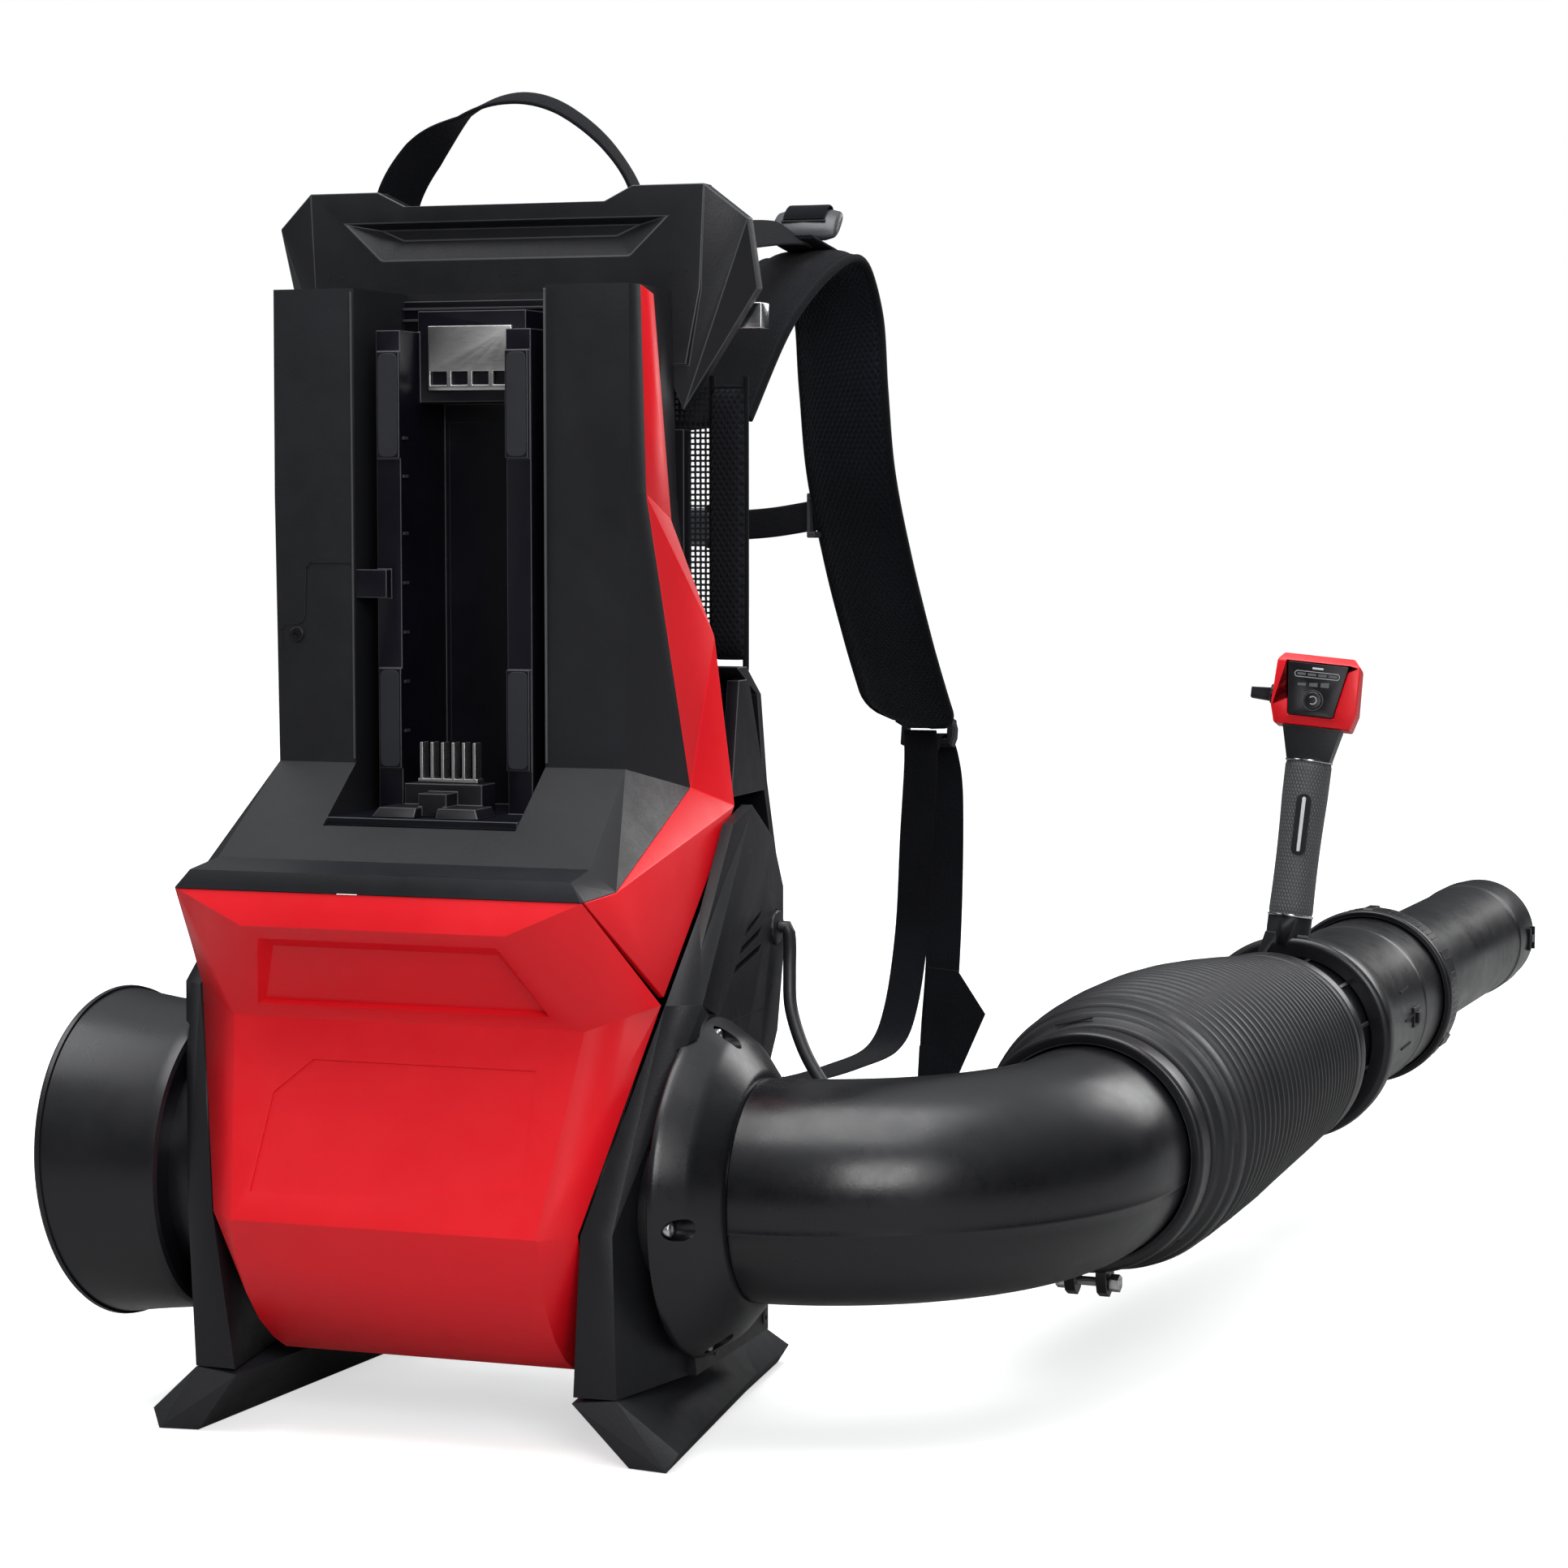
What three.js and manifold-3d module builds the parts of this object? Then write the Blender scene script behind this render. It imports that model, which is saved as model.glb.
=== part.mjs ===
// Battery-powered backpack leaf blower: an axial fan lies across the back under a battery tower,
// and its duct turns forward beside the user through an elbow, a bellows and a telescoping nozzle.
// Units are millimetres, +Z up, +Y towards the wearer and the nozzle, +X the wearer's right.
import * as THREE from "three";
import { ConvexGeometry } from "three/addons/geometries/ConvexGeometry.js";
import { mergeVertices } from "three/addons/utils/BufferGeometryUtils.js";
import Module from "manifold-3d";

const wasm = await Module();
wasm.setup();

// ---------- driving dimensions ----------
const GAP = 0.3; // clearance between neighbouring pieces
const TURNING_GAP = 0.8; // clearance between two faceted rings that turn on each other
const WALL = 3; // wall of the moulded covers
const SEGMENTS = 24; // facets round a duct
const FINE_SEGMENTS = 12; // facets round a small turned piece

// The model is drawn about the fan's middle plane (x = 0) and then moved so that its box is centred.
const ORIGIN_SHIFT = new THREE.Vector3(-102.3, -483.05, 0);

const FAN_Y = -78; // the fan's axis runs along X through this y and z
const FAN_Z = 133;
const DUCT_OUTER_R = 66.5;
const DUCT_INNER_R = 63;
const DUCT_HALF_LENGTH = 112;
const FLANGE_R = 88;
const BARREL_R = 101; // round belly of the front cover, about the fan's axis

const PLATE_FRONT_Y = -13;
const PLATE_BACK_Y = 0;
const PLATE_TOP_Z = 655;
const REAR_HALF_WIDTH = 128;
const REAR_WALL = 6;
const TOWER_TOP_Z = 599;
const TOWER_BACK_Y = -13.4;
const BAY_HALF_WIDTH = 54; // opening between the tower's two pillars
const BAY_FLOOR_Z = 320;
const BAY_FLOOR_THICKNESS = 4;
const LINER_BACK_Y = -20;
const RAIL_FRONT_Y = -82; // the steps on either side of the deep channel
const RAIL_TOP_Z = 577;
const GROOVE_Y = -50; // floor of the groove between each rail and the bay's wall
const CHANNEL_HALF_WIDTH = 30;
const STRIKE_Y = -60; // front of the latch's strike plate, inside the channel

const SIDE_X = 138; // outer face of the side covers
const SIDE_INNER_X = 118;

const ELBOW_START_X = 170;
const ELBOW_R = 58;
const ELBOW_WALL = 3.5;
const ELBOW_SIDES = 18;
const BEND_R = 128; // radius of the elbow's centreline
const BEND_STEPS = 8;
const GROMMET_CENTRE = [209.1, -10.5, 137.6]; // where the control cable enters the elbow
const GROMMET_TURN = 27.2;
const TUBE_START = new THREE.Vector3(306, 75, 136.5); // where the elbow ends and the tube line starts
const TUBE_HEADING = THREE.MathUtils.degToRad(3.1); // turned outwards from straight ahead

const HOSE_START = 14; // stations along the tube line, from the elbow's end
const HOSE_MIDDLE = 192;
const HOSE_END = 370;
const HOSE_R = 77; // the bellows narrows from here to the swivel
const HOSE_FAR_R = 62.5;
const HOSE_WALL = 3;
const SLEEVE_R = 53;
const SLEEVE_END = 462;
const TUBE_LIP = 440;
const TUBE_END = 690;
const TUBE_R = 56;
const NOZZLE_END = 1078;
const NOZZLE_R = 44;
const HANDLE_STATION = 447;
const LOCK_LUGS = 6;

// The control cable leaves the right side cover and goes into a gland behind the elbow.
const CABLE_R = 3.6;
const CABLE_HOLE = [SIDE_X, 36, 256];
const CABLE_ROUTE = [[140.2, 36, 256], [144.6, 36.1, 255.6], [145.5, 37, 245], [146, 35, 232],
  [149, 29, 212], [160, 20, 190], [174, 14, 172], [188, 11, 156], [199, 6, 143], [203.6, 0, 139],
  [206.9, -6.2, 138]];

// ---------- shape helpers ----------
const rad = THREE.MathUtils.degToRad;
const v3 = ([x, y, z]) => new THREE.Vector3(x, y, z);

// A closed three.js geometry as a manifold-3d solid.
function solid(geometry) {
  const bare = geometry.index ? geometry.toNonIndexed() : geometry.clone();
  bare.deleteAttribute("normal");
  bare.deleteAttribute("uv");
  const merged = mergeVertices(bare, 1e-4);
  return new wasm.Manifold(
    new wasm.Mesh({
      numProp: 3,
      vertProperties: merged.attributes.position.array,
      triVerts: new Uint32Array(merged.index.array),
    }),
  );
}

// A manifold-3d solid as a three.js geometry.
function geometryOf(made) {
  const mesh = made.getMesh();
  const positions = new Float32Array(mesh.numVert * 3);
  for (let i = 0; i < mesh.numVert; i++) {
    positions.set(mesh.vertProperties.subarray(i * mesh.numProp, i * mesh.numProp + 3), i * 3);
  }
  const geometry = new THREE.BufferGeometry();
  geometry.setAttribute("position", new THREE.BufferAttribute(positions, 3));
  geometry.setIndex(new THREE.BufferAttribute(mesh.triVerts, 1));
  return geometry;
}

const join = (...solids) => solids.reduce((a, b) => a.add(b));
const cut = (body, ...tools) => tools.reduce((a, b) => a.subtract(b), body);

// The largest of the bodies that a cut leaves.
const mainBody = (made) => made.decompose().reduce((a, b) => (b.volume() > a.volume() ? b : a));

// Both signs of x for a list of points.
const bothSides = (points) => points.flatMap(([x, y, z]) => [[x, y, z], [-x, y, z]]);
const flipX = (points) => points.map(([x, y, z]) => [-x, y, z]);

const SIDES = [["right", 1], ["left", -1]];
const onSide = (sign, points) => (sign > 0 ? points : flipX(points));

// The convex solid around a list of points, grown by `grow` along each axis.
function hull(points, grow = 0) {
  const around = grow
    ? points.flatMap(([x, y, z]) => [
        [x + grow, y, z], [x - grow, y, z],
        [x, y + grow, z], [x, y - grow, z],
        [x, y, z + grow], [x, y, z - grow],
      ])
    : points;
  return solid(new ConvexGeometry(around.map(v3)));
}

const hulls = (pieces, grow = 0) => join(...pieces.map((points) => hull(points, grow)));

// A box between two corners.
function box([x0, y0, z0], [x1, y1, z1]) {
  const geometry = new THREE.BoxGeometry(x1 - x0, y1 - y0, z1 - z0);
  return solid(geometry.translate((x0 + x1) / 2, (y0 + y1) / 2, (z0 + z1) / 2));
}

// A box given on the wearer's right, or its mirror image.
const onSideBox = (sign, low, high) => {
  const made = box(low, high);
  return sign > 0 ? made : made.mirror([1, 0, 0]);
};

// A body of revolution from [radius, station] pairs; the axis is +Y and stations run along it.
function turned(profile, segments = SEGMENTS) {
  const points = profile.map(([r, s]) => new THREE.Vector2(r, s));
  if (THREE.ShapeUtils.area(points) < 0) points.reverse();
  const onAxis = points[0].x === 0 && points[points.length - 1].x === 0;
  if (!onAxis) points.push(points[0].clone());
  return new THREE.LatheGeometry(points, segments);
}

const turnedY = (profile, segments) => solid(turned(profile, segments));
// The same with its axis on the fan's axis and stations measured as x.
const turnedX = (profile, segments) =>
  solid(turned(profile, segments).rotateZ(-Math.PI / 2).translate(0, FAN_Y, FAN_Z));

const ring = (inner, outer, from, to) => [[inner, from], [outer, from], [outer, to], [inner, to]];
const rod = (r, from, to) => [[0, from], [r, from], [r, to], [0, to]];

// A flat outline in X and Z, thickened along Y.
function plateXZ(outline, yFrom, yTo) {
  const shape = new THREE.Shape(outline.map(([x, z]) => new THREE.Vector2(x, z)));
  const geometry = new THREE.ExtrudeGeometry(shape, { depth: yTo - yFrom, bevelEnabled: false });
  return solid(geometry.rotateX(Math.PI / 2).translate(0, yTo, 0));
}

// A flat outline in Y and Z, thickened along X.
function plateYZ(outline, xFrom, xTo) {
  const shape = new THREE.Shape(outline.map(([y, z]) => new THREE.Vector2(y, z)));
  const geometry = new THREE.ExtrudeGeometry(shape, { depth: xTo - xFrom, bevelEnabled: false });
  geometry.applyMatrix4(
    new THREE.Matrix4().set(0, 0, 1, xFrom, 1, 0, 0, 0, 0, 1, 0, 0, 0, 0, 0, 1),
  );
  return solid(geometry);
}

// A round section swept along a curve.
function sweptRound(curve, r, sides, steps) {
  const shape = new THREE.Shape();
  for (let i = 0; i < sides; i++) {
    const a = (i / sides) * 2 * Math.PI;
    shape[i ? "lineTo" : "moveTo"](r * Math.cos(a), r * Math.sin(a));
  }
  shape.closePath();
  return solid(
    new THREE.ExtrudeGeometry(shape, { steps, extrudePath: curve, bevelEnabled: false }),
  );
}

// A solid from loose positions and triangles, turned to face outwards.
function closedSolid(positions, faces) {
  const geometry = new THREE.BufferGeometry();
  geometry.setAttribute("position", new THREE.Float32BufferAttribute(positions, 3));
  geometry.setIndex(faces);
  const made = solid(geometry);
  if (made.volume() > 0) return made;
  for (let i = 0; i < faces.length; i += 3) [faces[i], faces[i + 1]] = [faces[i + 1], faces[i]];
  geometry.setIndex(faces);
  return solid(geometry);
}

// A flat band of webbing or padding through a list of [x, y, z] points: `across` is its width direction.
function band(points, width, thickness, across, steps) {
  const curve = new THREE.CatmullRomCurve3(points.map(v3));
  const sections = [];
  for (let i = 0; i <= steps; i++) {
    const centre = curve.getPointAt(i / steps);
    const along = curve.getTangentAt(i / steps);
    const side = v3(across).projectOnPlane(along).normalize().multiplyScalar(width / 2);
    const up = new THREE.Vector3().crossVectors(side, along).normalize().multiplyScalar(thickness / 2);
    sections.push([
      centre.clone().add(side).add(up), centre.clone().sub(side).add(up),
      centre.clone().sub(side).sub(up), centre.clone().add(side).sub(up),
    ]);
  }
  const positions = sections.flat().flatMap((p) => [p.x, p.y, p.z]);
  const faces = [0, 2, 1, 0, 3, 2];
  for (let i = 0; i < steps; i++) {
    for (let k = 0; k < 4; k++) {
      const a = i * 4 + k;
      const b = i * 4 + ((k + 1) % 4);
      faces.push(a, b, b + 4, a, b + 4, a + 4);
    }
  }
  const last = steps * 4;
  faces.push(last, last + 1, last + 2, last, last + 2, last + 3);
  return closedSolid(positions, faces);
}

// ---------- materials ----------
const finish = (color, roughness, metalness = 0) =>
  () => new THREE.MeshStandardMaterial({ color, roughness, metalness });
const redShell = finish(0xc8101c, 0.42);
const darkShell = finish(0x2e2f33, 0.6);
const blackShell = finish(0x17181b, 0.55);
const ductPlastic = finish(0x1d1e20, 0.45);
const bellowsRubber = finish(0x26272a, 0.6);
const webbing = finish(0x0c0c0e, 0.9);
const padFabric = finish(0x101114, 0.95);
const meshFabric = finish(0x1b1c1f, 0.9);
const steel = finish(0xc9ccd1, 0.3, 1);
const copper = finish(0xb8743c, 0.35, 1);
const boardPlastic = finish(0x1c3b2a, 0.6);
const cableRubber = finish(0x141416, 0.5);

// ---------- the assembly ----------
const part = new THREE.Group();
const machine = new THREE.Group(); // pieces in the body's own coordinates
const tubeLine = new THREE.Group(); // pieces along the hose and nozzle, whose axis is this group's +Y
machine.position.copy(ORIGIN_SHIFT);
tubeLine.position.copy(TUBE_START);
tubeLine.rotation.z = -TUBE_HEADING;
machine.add(tubeLine);
part.add(machine);

function place(name, made, material, group = machine) {
  const mesh = new THREE.Mesh(geometryOf(made), material());
  mesh.name = name;
  group.add(mesh);
}

// ---------- battery tower ----------
// Corners of the tower's faces, on the wearer's right.
const pillarTop = [100.5, -87, TOWER_TOP_Z];
const pillarMiddle = [100.5, -88, 491];
const pillarFold = [98.5, -89, 350];
const shoulderFoot = [103.4, -151.4, 304.2];
const ledgeEdge = [104.8, -179.8, 300.5];
const ledgeLip = [110.9, -182.9, 291];
// Inner edge of the red side panel, which is also the outer edge of the tower's bevelled sides.
const bevelTop = [102, -74, TOWER_TOP_Z];
const bevelMiddle = [104.5, -73, 491];
const bevelFold = [115.5, -38, 337];
const bevelFoot = [117, -150, 293];
const bevelCorner = [112.7, -182, 291];
// Outer edge of the red side panel.
const panelTop = [103, -58, TOWER_TOP_Z - 4];
const panelUpper = [108, -46, 478];
const panelMiddle = [122, -18, 416];
const panelLower = [131, -12, 326];
const panelCorner = [131, -120, 237];

const inward = (dx, dy, dz = 0) => ([x, y, z]) => [x - dx, y + dy, z + dz];

// The red side panel's facets, each a thin convex plate.
const panelFacets = [
  [bevelTop, bevelMiddle, panelUpper, panelTop],
  [bevelMiddle, bevelFold, panelMiddle, panelUpper],
  [bevelFold, panelLower, panelMiddle],
  [bevelFold, bevelFoot, panelCorner, panelLower],
  [bevelFoot, bevelCorner, panelCorner],
].map((facet) => [...facet, ...facet.map(inward(4, 3, -1))]);

function towerShell() {
  const back = (x, z) => [x, TOWER_BACK_Y, z];
  const outer = hulls([
    bothSides([pillarTop, bevelTop, pillarMiddle, bevelMiddle, back(96, TOWER_TOP_Z), back(99, 491)]),
    bothSides([pillarMiddle, bevelMiddle, pillarFold, bevelFold, back(99, 491), back(114, 339)]),
    bothSides([pillarFold, bevelFold, shoulderFoot, bevelFoot, back(114, 339), back(114, 293)]),
    bothSides([shoulderFoot, bevelFoot, ledgeEdge, ledgeLip, bevelCorner, [100, -140, 291]]),
  ]);
  const bay = box([-BAY_HALF_WIDTH, -200, BAY_FLOOR_Z], [BAY_HALF_WIDTH, LINER_BACK_Y, 620]);
  const pillarHollow = (sign) =>
    hull(onSide(sign, [
      [58, -82, 345], [96, -82, 345], [58, -82, 594], [96, -82, 594],
      [58, 0, 345], [90, 0, 345], [58, 0, 594], [90, 0, 594],
    ]));
  const shoulderHollow = hulls([
    bothSides([[96, -84, 338], [98, -144, 300], [100, -144, 280], [100, -20, 338], [100, -20, 280]]),
    bothSides([[98, -143, 299], [104, -172, 296], [104, -172, 280], [100, -143, 280]]),
  ]);
  const floorBlock = box(
    [-BAY_HALF_WIDTH - WALL, -146, BAY_FLOOR_Z - 4],
    [BAY_HALF_WIDTH + WALL, TOWER_BACK_Y - 0.1, BAY_FLOOR_Z + 20],
  );
  const cheeks = SIDES.map(([, sign]) =>
    box(
      [Math.min(sign * 54, sign * 57), -146, BAY_FLOOR_Z - 4],
      [Math.max(sign * 54, sign * 57), -80, 360],
    ));
  const shell = cut(outer, bay, pillarHollow(1), pillarHollow(-1), shoulderHollow);
  const walls = join(floorBlock, ...cheeks).intersect(outer);
  return cut(
    join(shell, walls),
    bay,
    hulls(panelFacets, GAP),
    hulls(panelFacets.map(flipX), GAP),
  );
}

function bayLiner() {
  const edge = BAY_HALF_WIDTH - GAP;
  const back = LINER_BACK_Y - GAP;
  const floor = BAY_FLOOR_Z + GAP;
  const channel = CHANNEL_HALF_WIDTH;
  const rails = SIDES.flatMap(([, sign]) => [
    onSideBox(sign, [channel, RAIL_FRONT_Y, floor], [channel + 14, back, RAIL_TOP_Z]),
    onSideBox(sign, [channel + 13, GROOVE_Y, floor], [edge, back, RAIL_TOP_Z]),
  ]);
  const guides = SIDES.flatMap(([, sign]) => [[347, 400], [510, 566]].map(([low, high]) =>
    onSideBox(sign, [channel, RAIL_FRONT_Y - 2, low], [channel + 13, RAIL_FRONT_Y + 1, high])));
  const tongue = box([-edge, RAIL_FRONT_Y - 6, 437], [-channel - 6, RAIL_FRONT_Y + 1, 452]);
  const backWall = box([-edge, back - 5, floor], [edge, back, TOWER_TOP_Z - 4]);
  const floorPlate = box([-edge, -126, floor], [edge, back, floor + BAY_FLOOR_THICKNESS]);
  const latchBracket = box([-channel - 1, STRIKE_Y + 3, 540], [channel + 1, back - 1, 588]);
  const liner = join(...rails, ...guides, tongue, backWall, floorPlate, latchBracket);
  const railHollows = SIDES.map(([, sign]) =>
    onSideBox(sign, [channel + WALL, GROOVE_Y + WALL, floor + 8], [edge - 2, back + 1, RAIL_TOP_Z - 3]));
  return cut(liner, ...railHollows);
}

function strikePlate() {
  const plate = box([-24, STRIKE_Y, 546], [24, STRIKE_Y + 3 - GAP, 580]);
  const windows = [-18, -6, 6, 18].map((x) =>
    box([x - 4.5, STRIKE_Y - 2, 549], [x + 4.5, STRIKE_Y + 4, 556]));
  return cut(plate, ...windows);
}

function terminalBlock() {
  const floorTop = BAY_FLOOR_Z + BAY_FLOOR_THICKNESS + 2 * GAP;
  const body = box([-22, -98, floorTop], [22, -80, floorTop + 16]);
  const boss = box([-8, -112, floorTop], [8, -97, floorTop + 12]);
  const shelf = (sign) =>
    hull(onSide(sign, [
      ...[[6, -122], [30, -122], [6, -97], [30, -97]].map(([x, y]) => [x, y, floorTop]),
      ...[[6, -119], [27, -119], [6, -97], [27, -97]].map(([x, y]) => [x, y, floorTop + 5]),
    ]));
  return join(body, boss, shelf(1), shelf(-1));
}

function terminalContacts() {
  const base = BAY_FLOOR_Z + BAY_FLOOR_THICKNESS + 16 + 3 * GAP;
  const strip = box([-17, -92, base], [17, -84, base + 2]);
  const blades = [-15, -9, -3, 3, 9, 15].map((x) =>
    box([x - 0.8, -92, base + 1], [x + 0.8, -84, base + 21]));
  return join(strip, ...blades);
}

// ---------- covers ----------
const coverTop = [111.4, -182.2, 290.6];
const coverBrow = [72.6, -187.6, 273.5];
const coverWaist = [97.9, -145.5, 221.3];
const coverWaistOuter = [129.6, -120.6, 232.9];
const coverChin = [84.3, -178.7, 120.3];
const coverChinOuter = [101.5, -165, 121.1];
const bellyPoint = (x, r, degrees) => [
  x, FAN_Y - r * Math.cos(rad(degrees)), FAN_Z - r * Math.sin(rad(degrees)),
];

// The front cover's outer form, moved inwards by `t` for its inside.
function coverForm(t) {
  const move = inward(t, t);
  const brow = [coverTop, coverBrow, coverWaist, coverWaistOuter, [60, -150, 287], [60, -118, 221]];
  const face = [coverWaist, coverWaistOuter, coverChin, coverChinOuter, [60, -112, 238], [60, -140, 120]];
  const bellyAngles = [8, 20, 32, 44, 55, 64];
  const belly = [
    ...bellyAngles.map((a) => bellyPoint(86 - a / 16 - t, BARREL_R - t, a)),
    ...[coverChin, coverChinOuter, [90, FAN_Y - 36, FAN_Z - 80]].map(move),
    bellyPoint(60, 70, 30), bellyPoint(60, 80, 66),
  ];
  return hulls([...[brow, face].map((points) => points.map(move)), belly].map(bothSides));
}

function frontCover() {
  const recess = [[66.3, -184, 267.5], [85.2, -154.5, 226.5], [62, -172, 262], [78, -149, 231]];
  const browRecess = hull(bothSides(recess));
  const recessWall = hull(bothSides([...recess, ...recess.map(inward(-2, WALL + 1))]));
  const up = v3(coverWaist).sub(v3(coverChin)).setX(0).normalize();
  const normal = new THREE.Vector3(0, -up.z, up.y);
  const middle = v3(coverWaist).add(v3(coverChin)).multiplyScalar(0.5).setX(0);
  const badge = [[-70, 14], [-50, 32], [74, 32], [74, -26], [44, -20], [-16, -38], [-76, -38]];
  const badgeRecess = hull([-0.8, 3].flatMap((depth) => badge.map(([x, h]) =>
    middle.clone().add(new THREE.Vector3(x, 0, 0)).addScaledVector(up, h)
      .addScaledVector(normal, depth).toArray())));
  const bore = turnedX(rod(DUCT_OUTER_R + 2, -160, 160));
  const shell = cut(coverForm(0), coverForm(WALL), bore);
  return mainBody(cut(join(shell, recessWall.intersect(coverForm(0))), browRecess, badgeRecess));
}

const sidePanel = (sign) => hulls(panelFacets.map((facet) => onSide(sign, facet)));

// Corners of the dark cover that frames the side: its front column runs down to the foot.
const columnFacets = [
  // lower column
  [[95, -156, 36.5], [118, -155, 36.5], [102.6, -164.5, 121], [118.4, -161, 121.6],
    [104, -90, 36.5], [134, -90, 36.5], [112, -100, 121], [SIDE_X, -112, 121]],
  // upper column
  [[102.6, -164.5, 121], [118.4, -161, 121.6], [131.4, -119.6, 232.6], [146.9, -106.4, 232.1],
    [112, -100, 121], [SIDE_X, -112, 121], [128, -70, 232], [SIDE_X, -70, 220]],
  // slanted strips below the red panel
  [[131.4, -119.6, 232.6], [146.9, -106.4, 232.1], [132.4, -12, 324.5], [SIDE_X, -8, 320],
    [128, -70, 232], [SIDE_X, -60, 220], [128, -10, 316], [SIDE_X, 4, 306]],
];

function sideCover(sign) {
  const outline = [
    [-92, 36.5], [-112, 121], [-106, 232], [-34, 318], [-4, 326], [30, 306], [48, 277],
    [48, 238], [38, 199], [22, 179], [22, 36.5],
  ];
  const slab = plateYZ(outline, SIDE_X - WALL - 3, SIDE_X);
  const columns = hulls(columnFacets);
  const hollow = hulls([
    [[104, -146, 40], [112, -148, 121], [104, -80, 40], [128, -80, 40], [112, -90, 121], [130, -90, 121]],
    [[112, -148, 121], [134, -104, 228], [112, -90, 121], [132, -96, 121], [124, -60, 228], [132, -60, 220]],
  ]);
  const ductHole = join(turnedX(rod(DUCT_OUTER_R + 0.8, 90, 160)), turnedX(rod(FLANGE_R + 0.6, SIDE_X, 160)));
  const vents = [0, 1, 2].map((i) => {
    const z = 238 + i * 9;
    const y = -34 + i * 9;
    const slit = [[y, z], [y + 4, z + 4.5], [8, z + 8], [12, z + 12]];
    return hull(slit.flatMap((corner) => [[128, ...corner], [150, ...corner]]));
  });
  const cableHole = solid(
    new THREE.CylinderGeometry(10, 10, 40, FINE_SEGMENTS).rotateZ(Math.PI / 2).translate(...CABLE_HOLE));
  const made = cut(
    join(slab, columns), hollow, ductHole, ...vents, cableHole, hulls(panelFacets, GAP), coverKeepOut(),
  );
  return sign > 0 ? made : made.mirror([1, 0, 0]);
}

// The space that the front cover fills, with a gap, for cutting its neighbours.
const coverKeepOut = () =>
  hulls([
    [coverTop, coverWaist, coverWaistOuter, [60, -150, 290], [60, -118, 221]],
    [coverWaist, coverWaistOuter, coverChin, coverChinOuter, [60, -112, 238], [60, -140, 120]],
    [coverChin, coverChinOuter, [90, FAN_Y - 36, FAN_Z - 80], bellyPoint(86, BARREL_R, 30),
      bellyPoint(60, 70, 30), bellyPoint(60, 80, 66)],
  ].map(bothSides), GAP);

function foot(sign) {
  const sole = [[142.8, -150, 0], [121.5, -147, 0], [148.1, -146.2, 9.6]];
  const top = [[94.2, -156.2, 33.3], [118, -154.7, 36]];
  const runBack = (points, x, y, z) => points.map(inward(x, y, z));
  const front = [...sole, ...top, ...runBack(sole, 20, 190, 0), ...runBack(top, 20, 178, 0)];
  const tail = [...runBack(sole, 18, 170, 0), ...runBack(top, 18, 160, 0),
    ...runBack(sole, 24, 245, 0), ...runBack(top, 24, 219, 8)];
  return join(hull(onSide(sign, front)), hull(onSide(sign, tail)));
}

// ---------- back of the machine ----------
function backPlate() {
  const half = [[92, 360], [92, 560], [104, 560], [112, 600], [114.4, PLATE_TOP_Z], [74, PLATE_TOP_Z],
    [57.8, 647]];
  const outline = [...half, ...half.map(([x, z]) => [-x, z]).reverse()];
  const plate = plateXZ(outline, PLATE_FRONT_Y, PLATE_BACK_Y);
  // The plate's sides bend back towards the wearer.
  const wing = [[114.4, PLATE_FRONT_Y, PLATE_TOP_Z], [136.2, -5.6, 637], [136, 11, 601], [100, -6, 536],
    [92, PLATE_FRONT_Y, 560], [108, PLATE_FRONT_Y, 600]];
  const wings = SIDES.map(([, sign]) => hull(onSide(sign, [...wing, ...wing.map(inward(0, 9))])));
  const recess = hull(bothSides([[95.7, PLATE_FRONT_Y - 1, 638.5], [72.5, PLATE_FRONT_Y - 1, 616.5],
    [62, PLATE_FRONT_Y + 8, 629], [76, PLATE_FRONT_Y + 8, 635]]));
  const pocket = box([-80, PLATE_FRONT_Y + WALL, 368], [80, PLATE_BACK_Y + 1, 548]);
  return cut(join(plate, ...wings), recess, pocket);
}

function rearFrame() {
  const back = [[16, 399], [40, 383], [50, 335], [72, 277], [72, 238], [62, 199], [42, 179], [36, 44]];
  const front = back.map(([y, z]) => [y - REAR_WALL, z]);
  front[0] = [PLATE_BACK_Y + GAP, 399];
  const shell = plateYZ([...back, ...front.reverse()], -REAR_HALF_WIDTH, REAR_HALF_WIDTH);
  const face = PLATE_BACK_Y + GAP;
  const uprights = SIDES.map(([, sign]) => onSideBox(sign, [82, face, 380], [98, face + 9, 526]));
  const ribs = SIDES.map(([, sign]) => {
    const low = [[-8, 330], [48, 330], [20, 392], [4, 392]];
    return hull(onSide(sign, low.flatMap(([y, z]) => [[121, y, z], [REAR_HALF_WIDTH, y, z]])));
  });
  return join(shell, ...uprights, ...ribs);
}

// ---------- fan line ----------
function inletBell() {
  const throat = -SIDE_X - GAP - 0.3;
  const profile = [[DUCT_INNER_R, -SIDE_INNER_X], [DUCT_OUTER_R, -SIDE_INNER_X], [DUCT_OUTER_R, throat],
    [79, throat], [82, throat - 4], [84, -165], [91.5, -214], [88, -214], [80.5, -165], [77, throat - 4],
    [DUCT_INNER_R, throat - 1]];
  const bell = turnedX(profile);
  const trim = solid(new THREE.BoxGeometry(60, 240, 240).rotateZ(rad(-5)).rotateY(rad(-4))
    .translate(-227, FAN_Y, FAN_Z));
  return cut(bell, trim);
}

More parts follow.
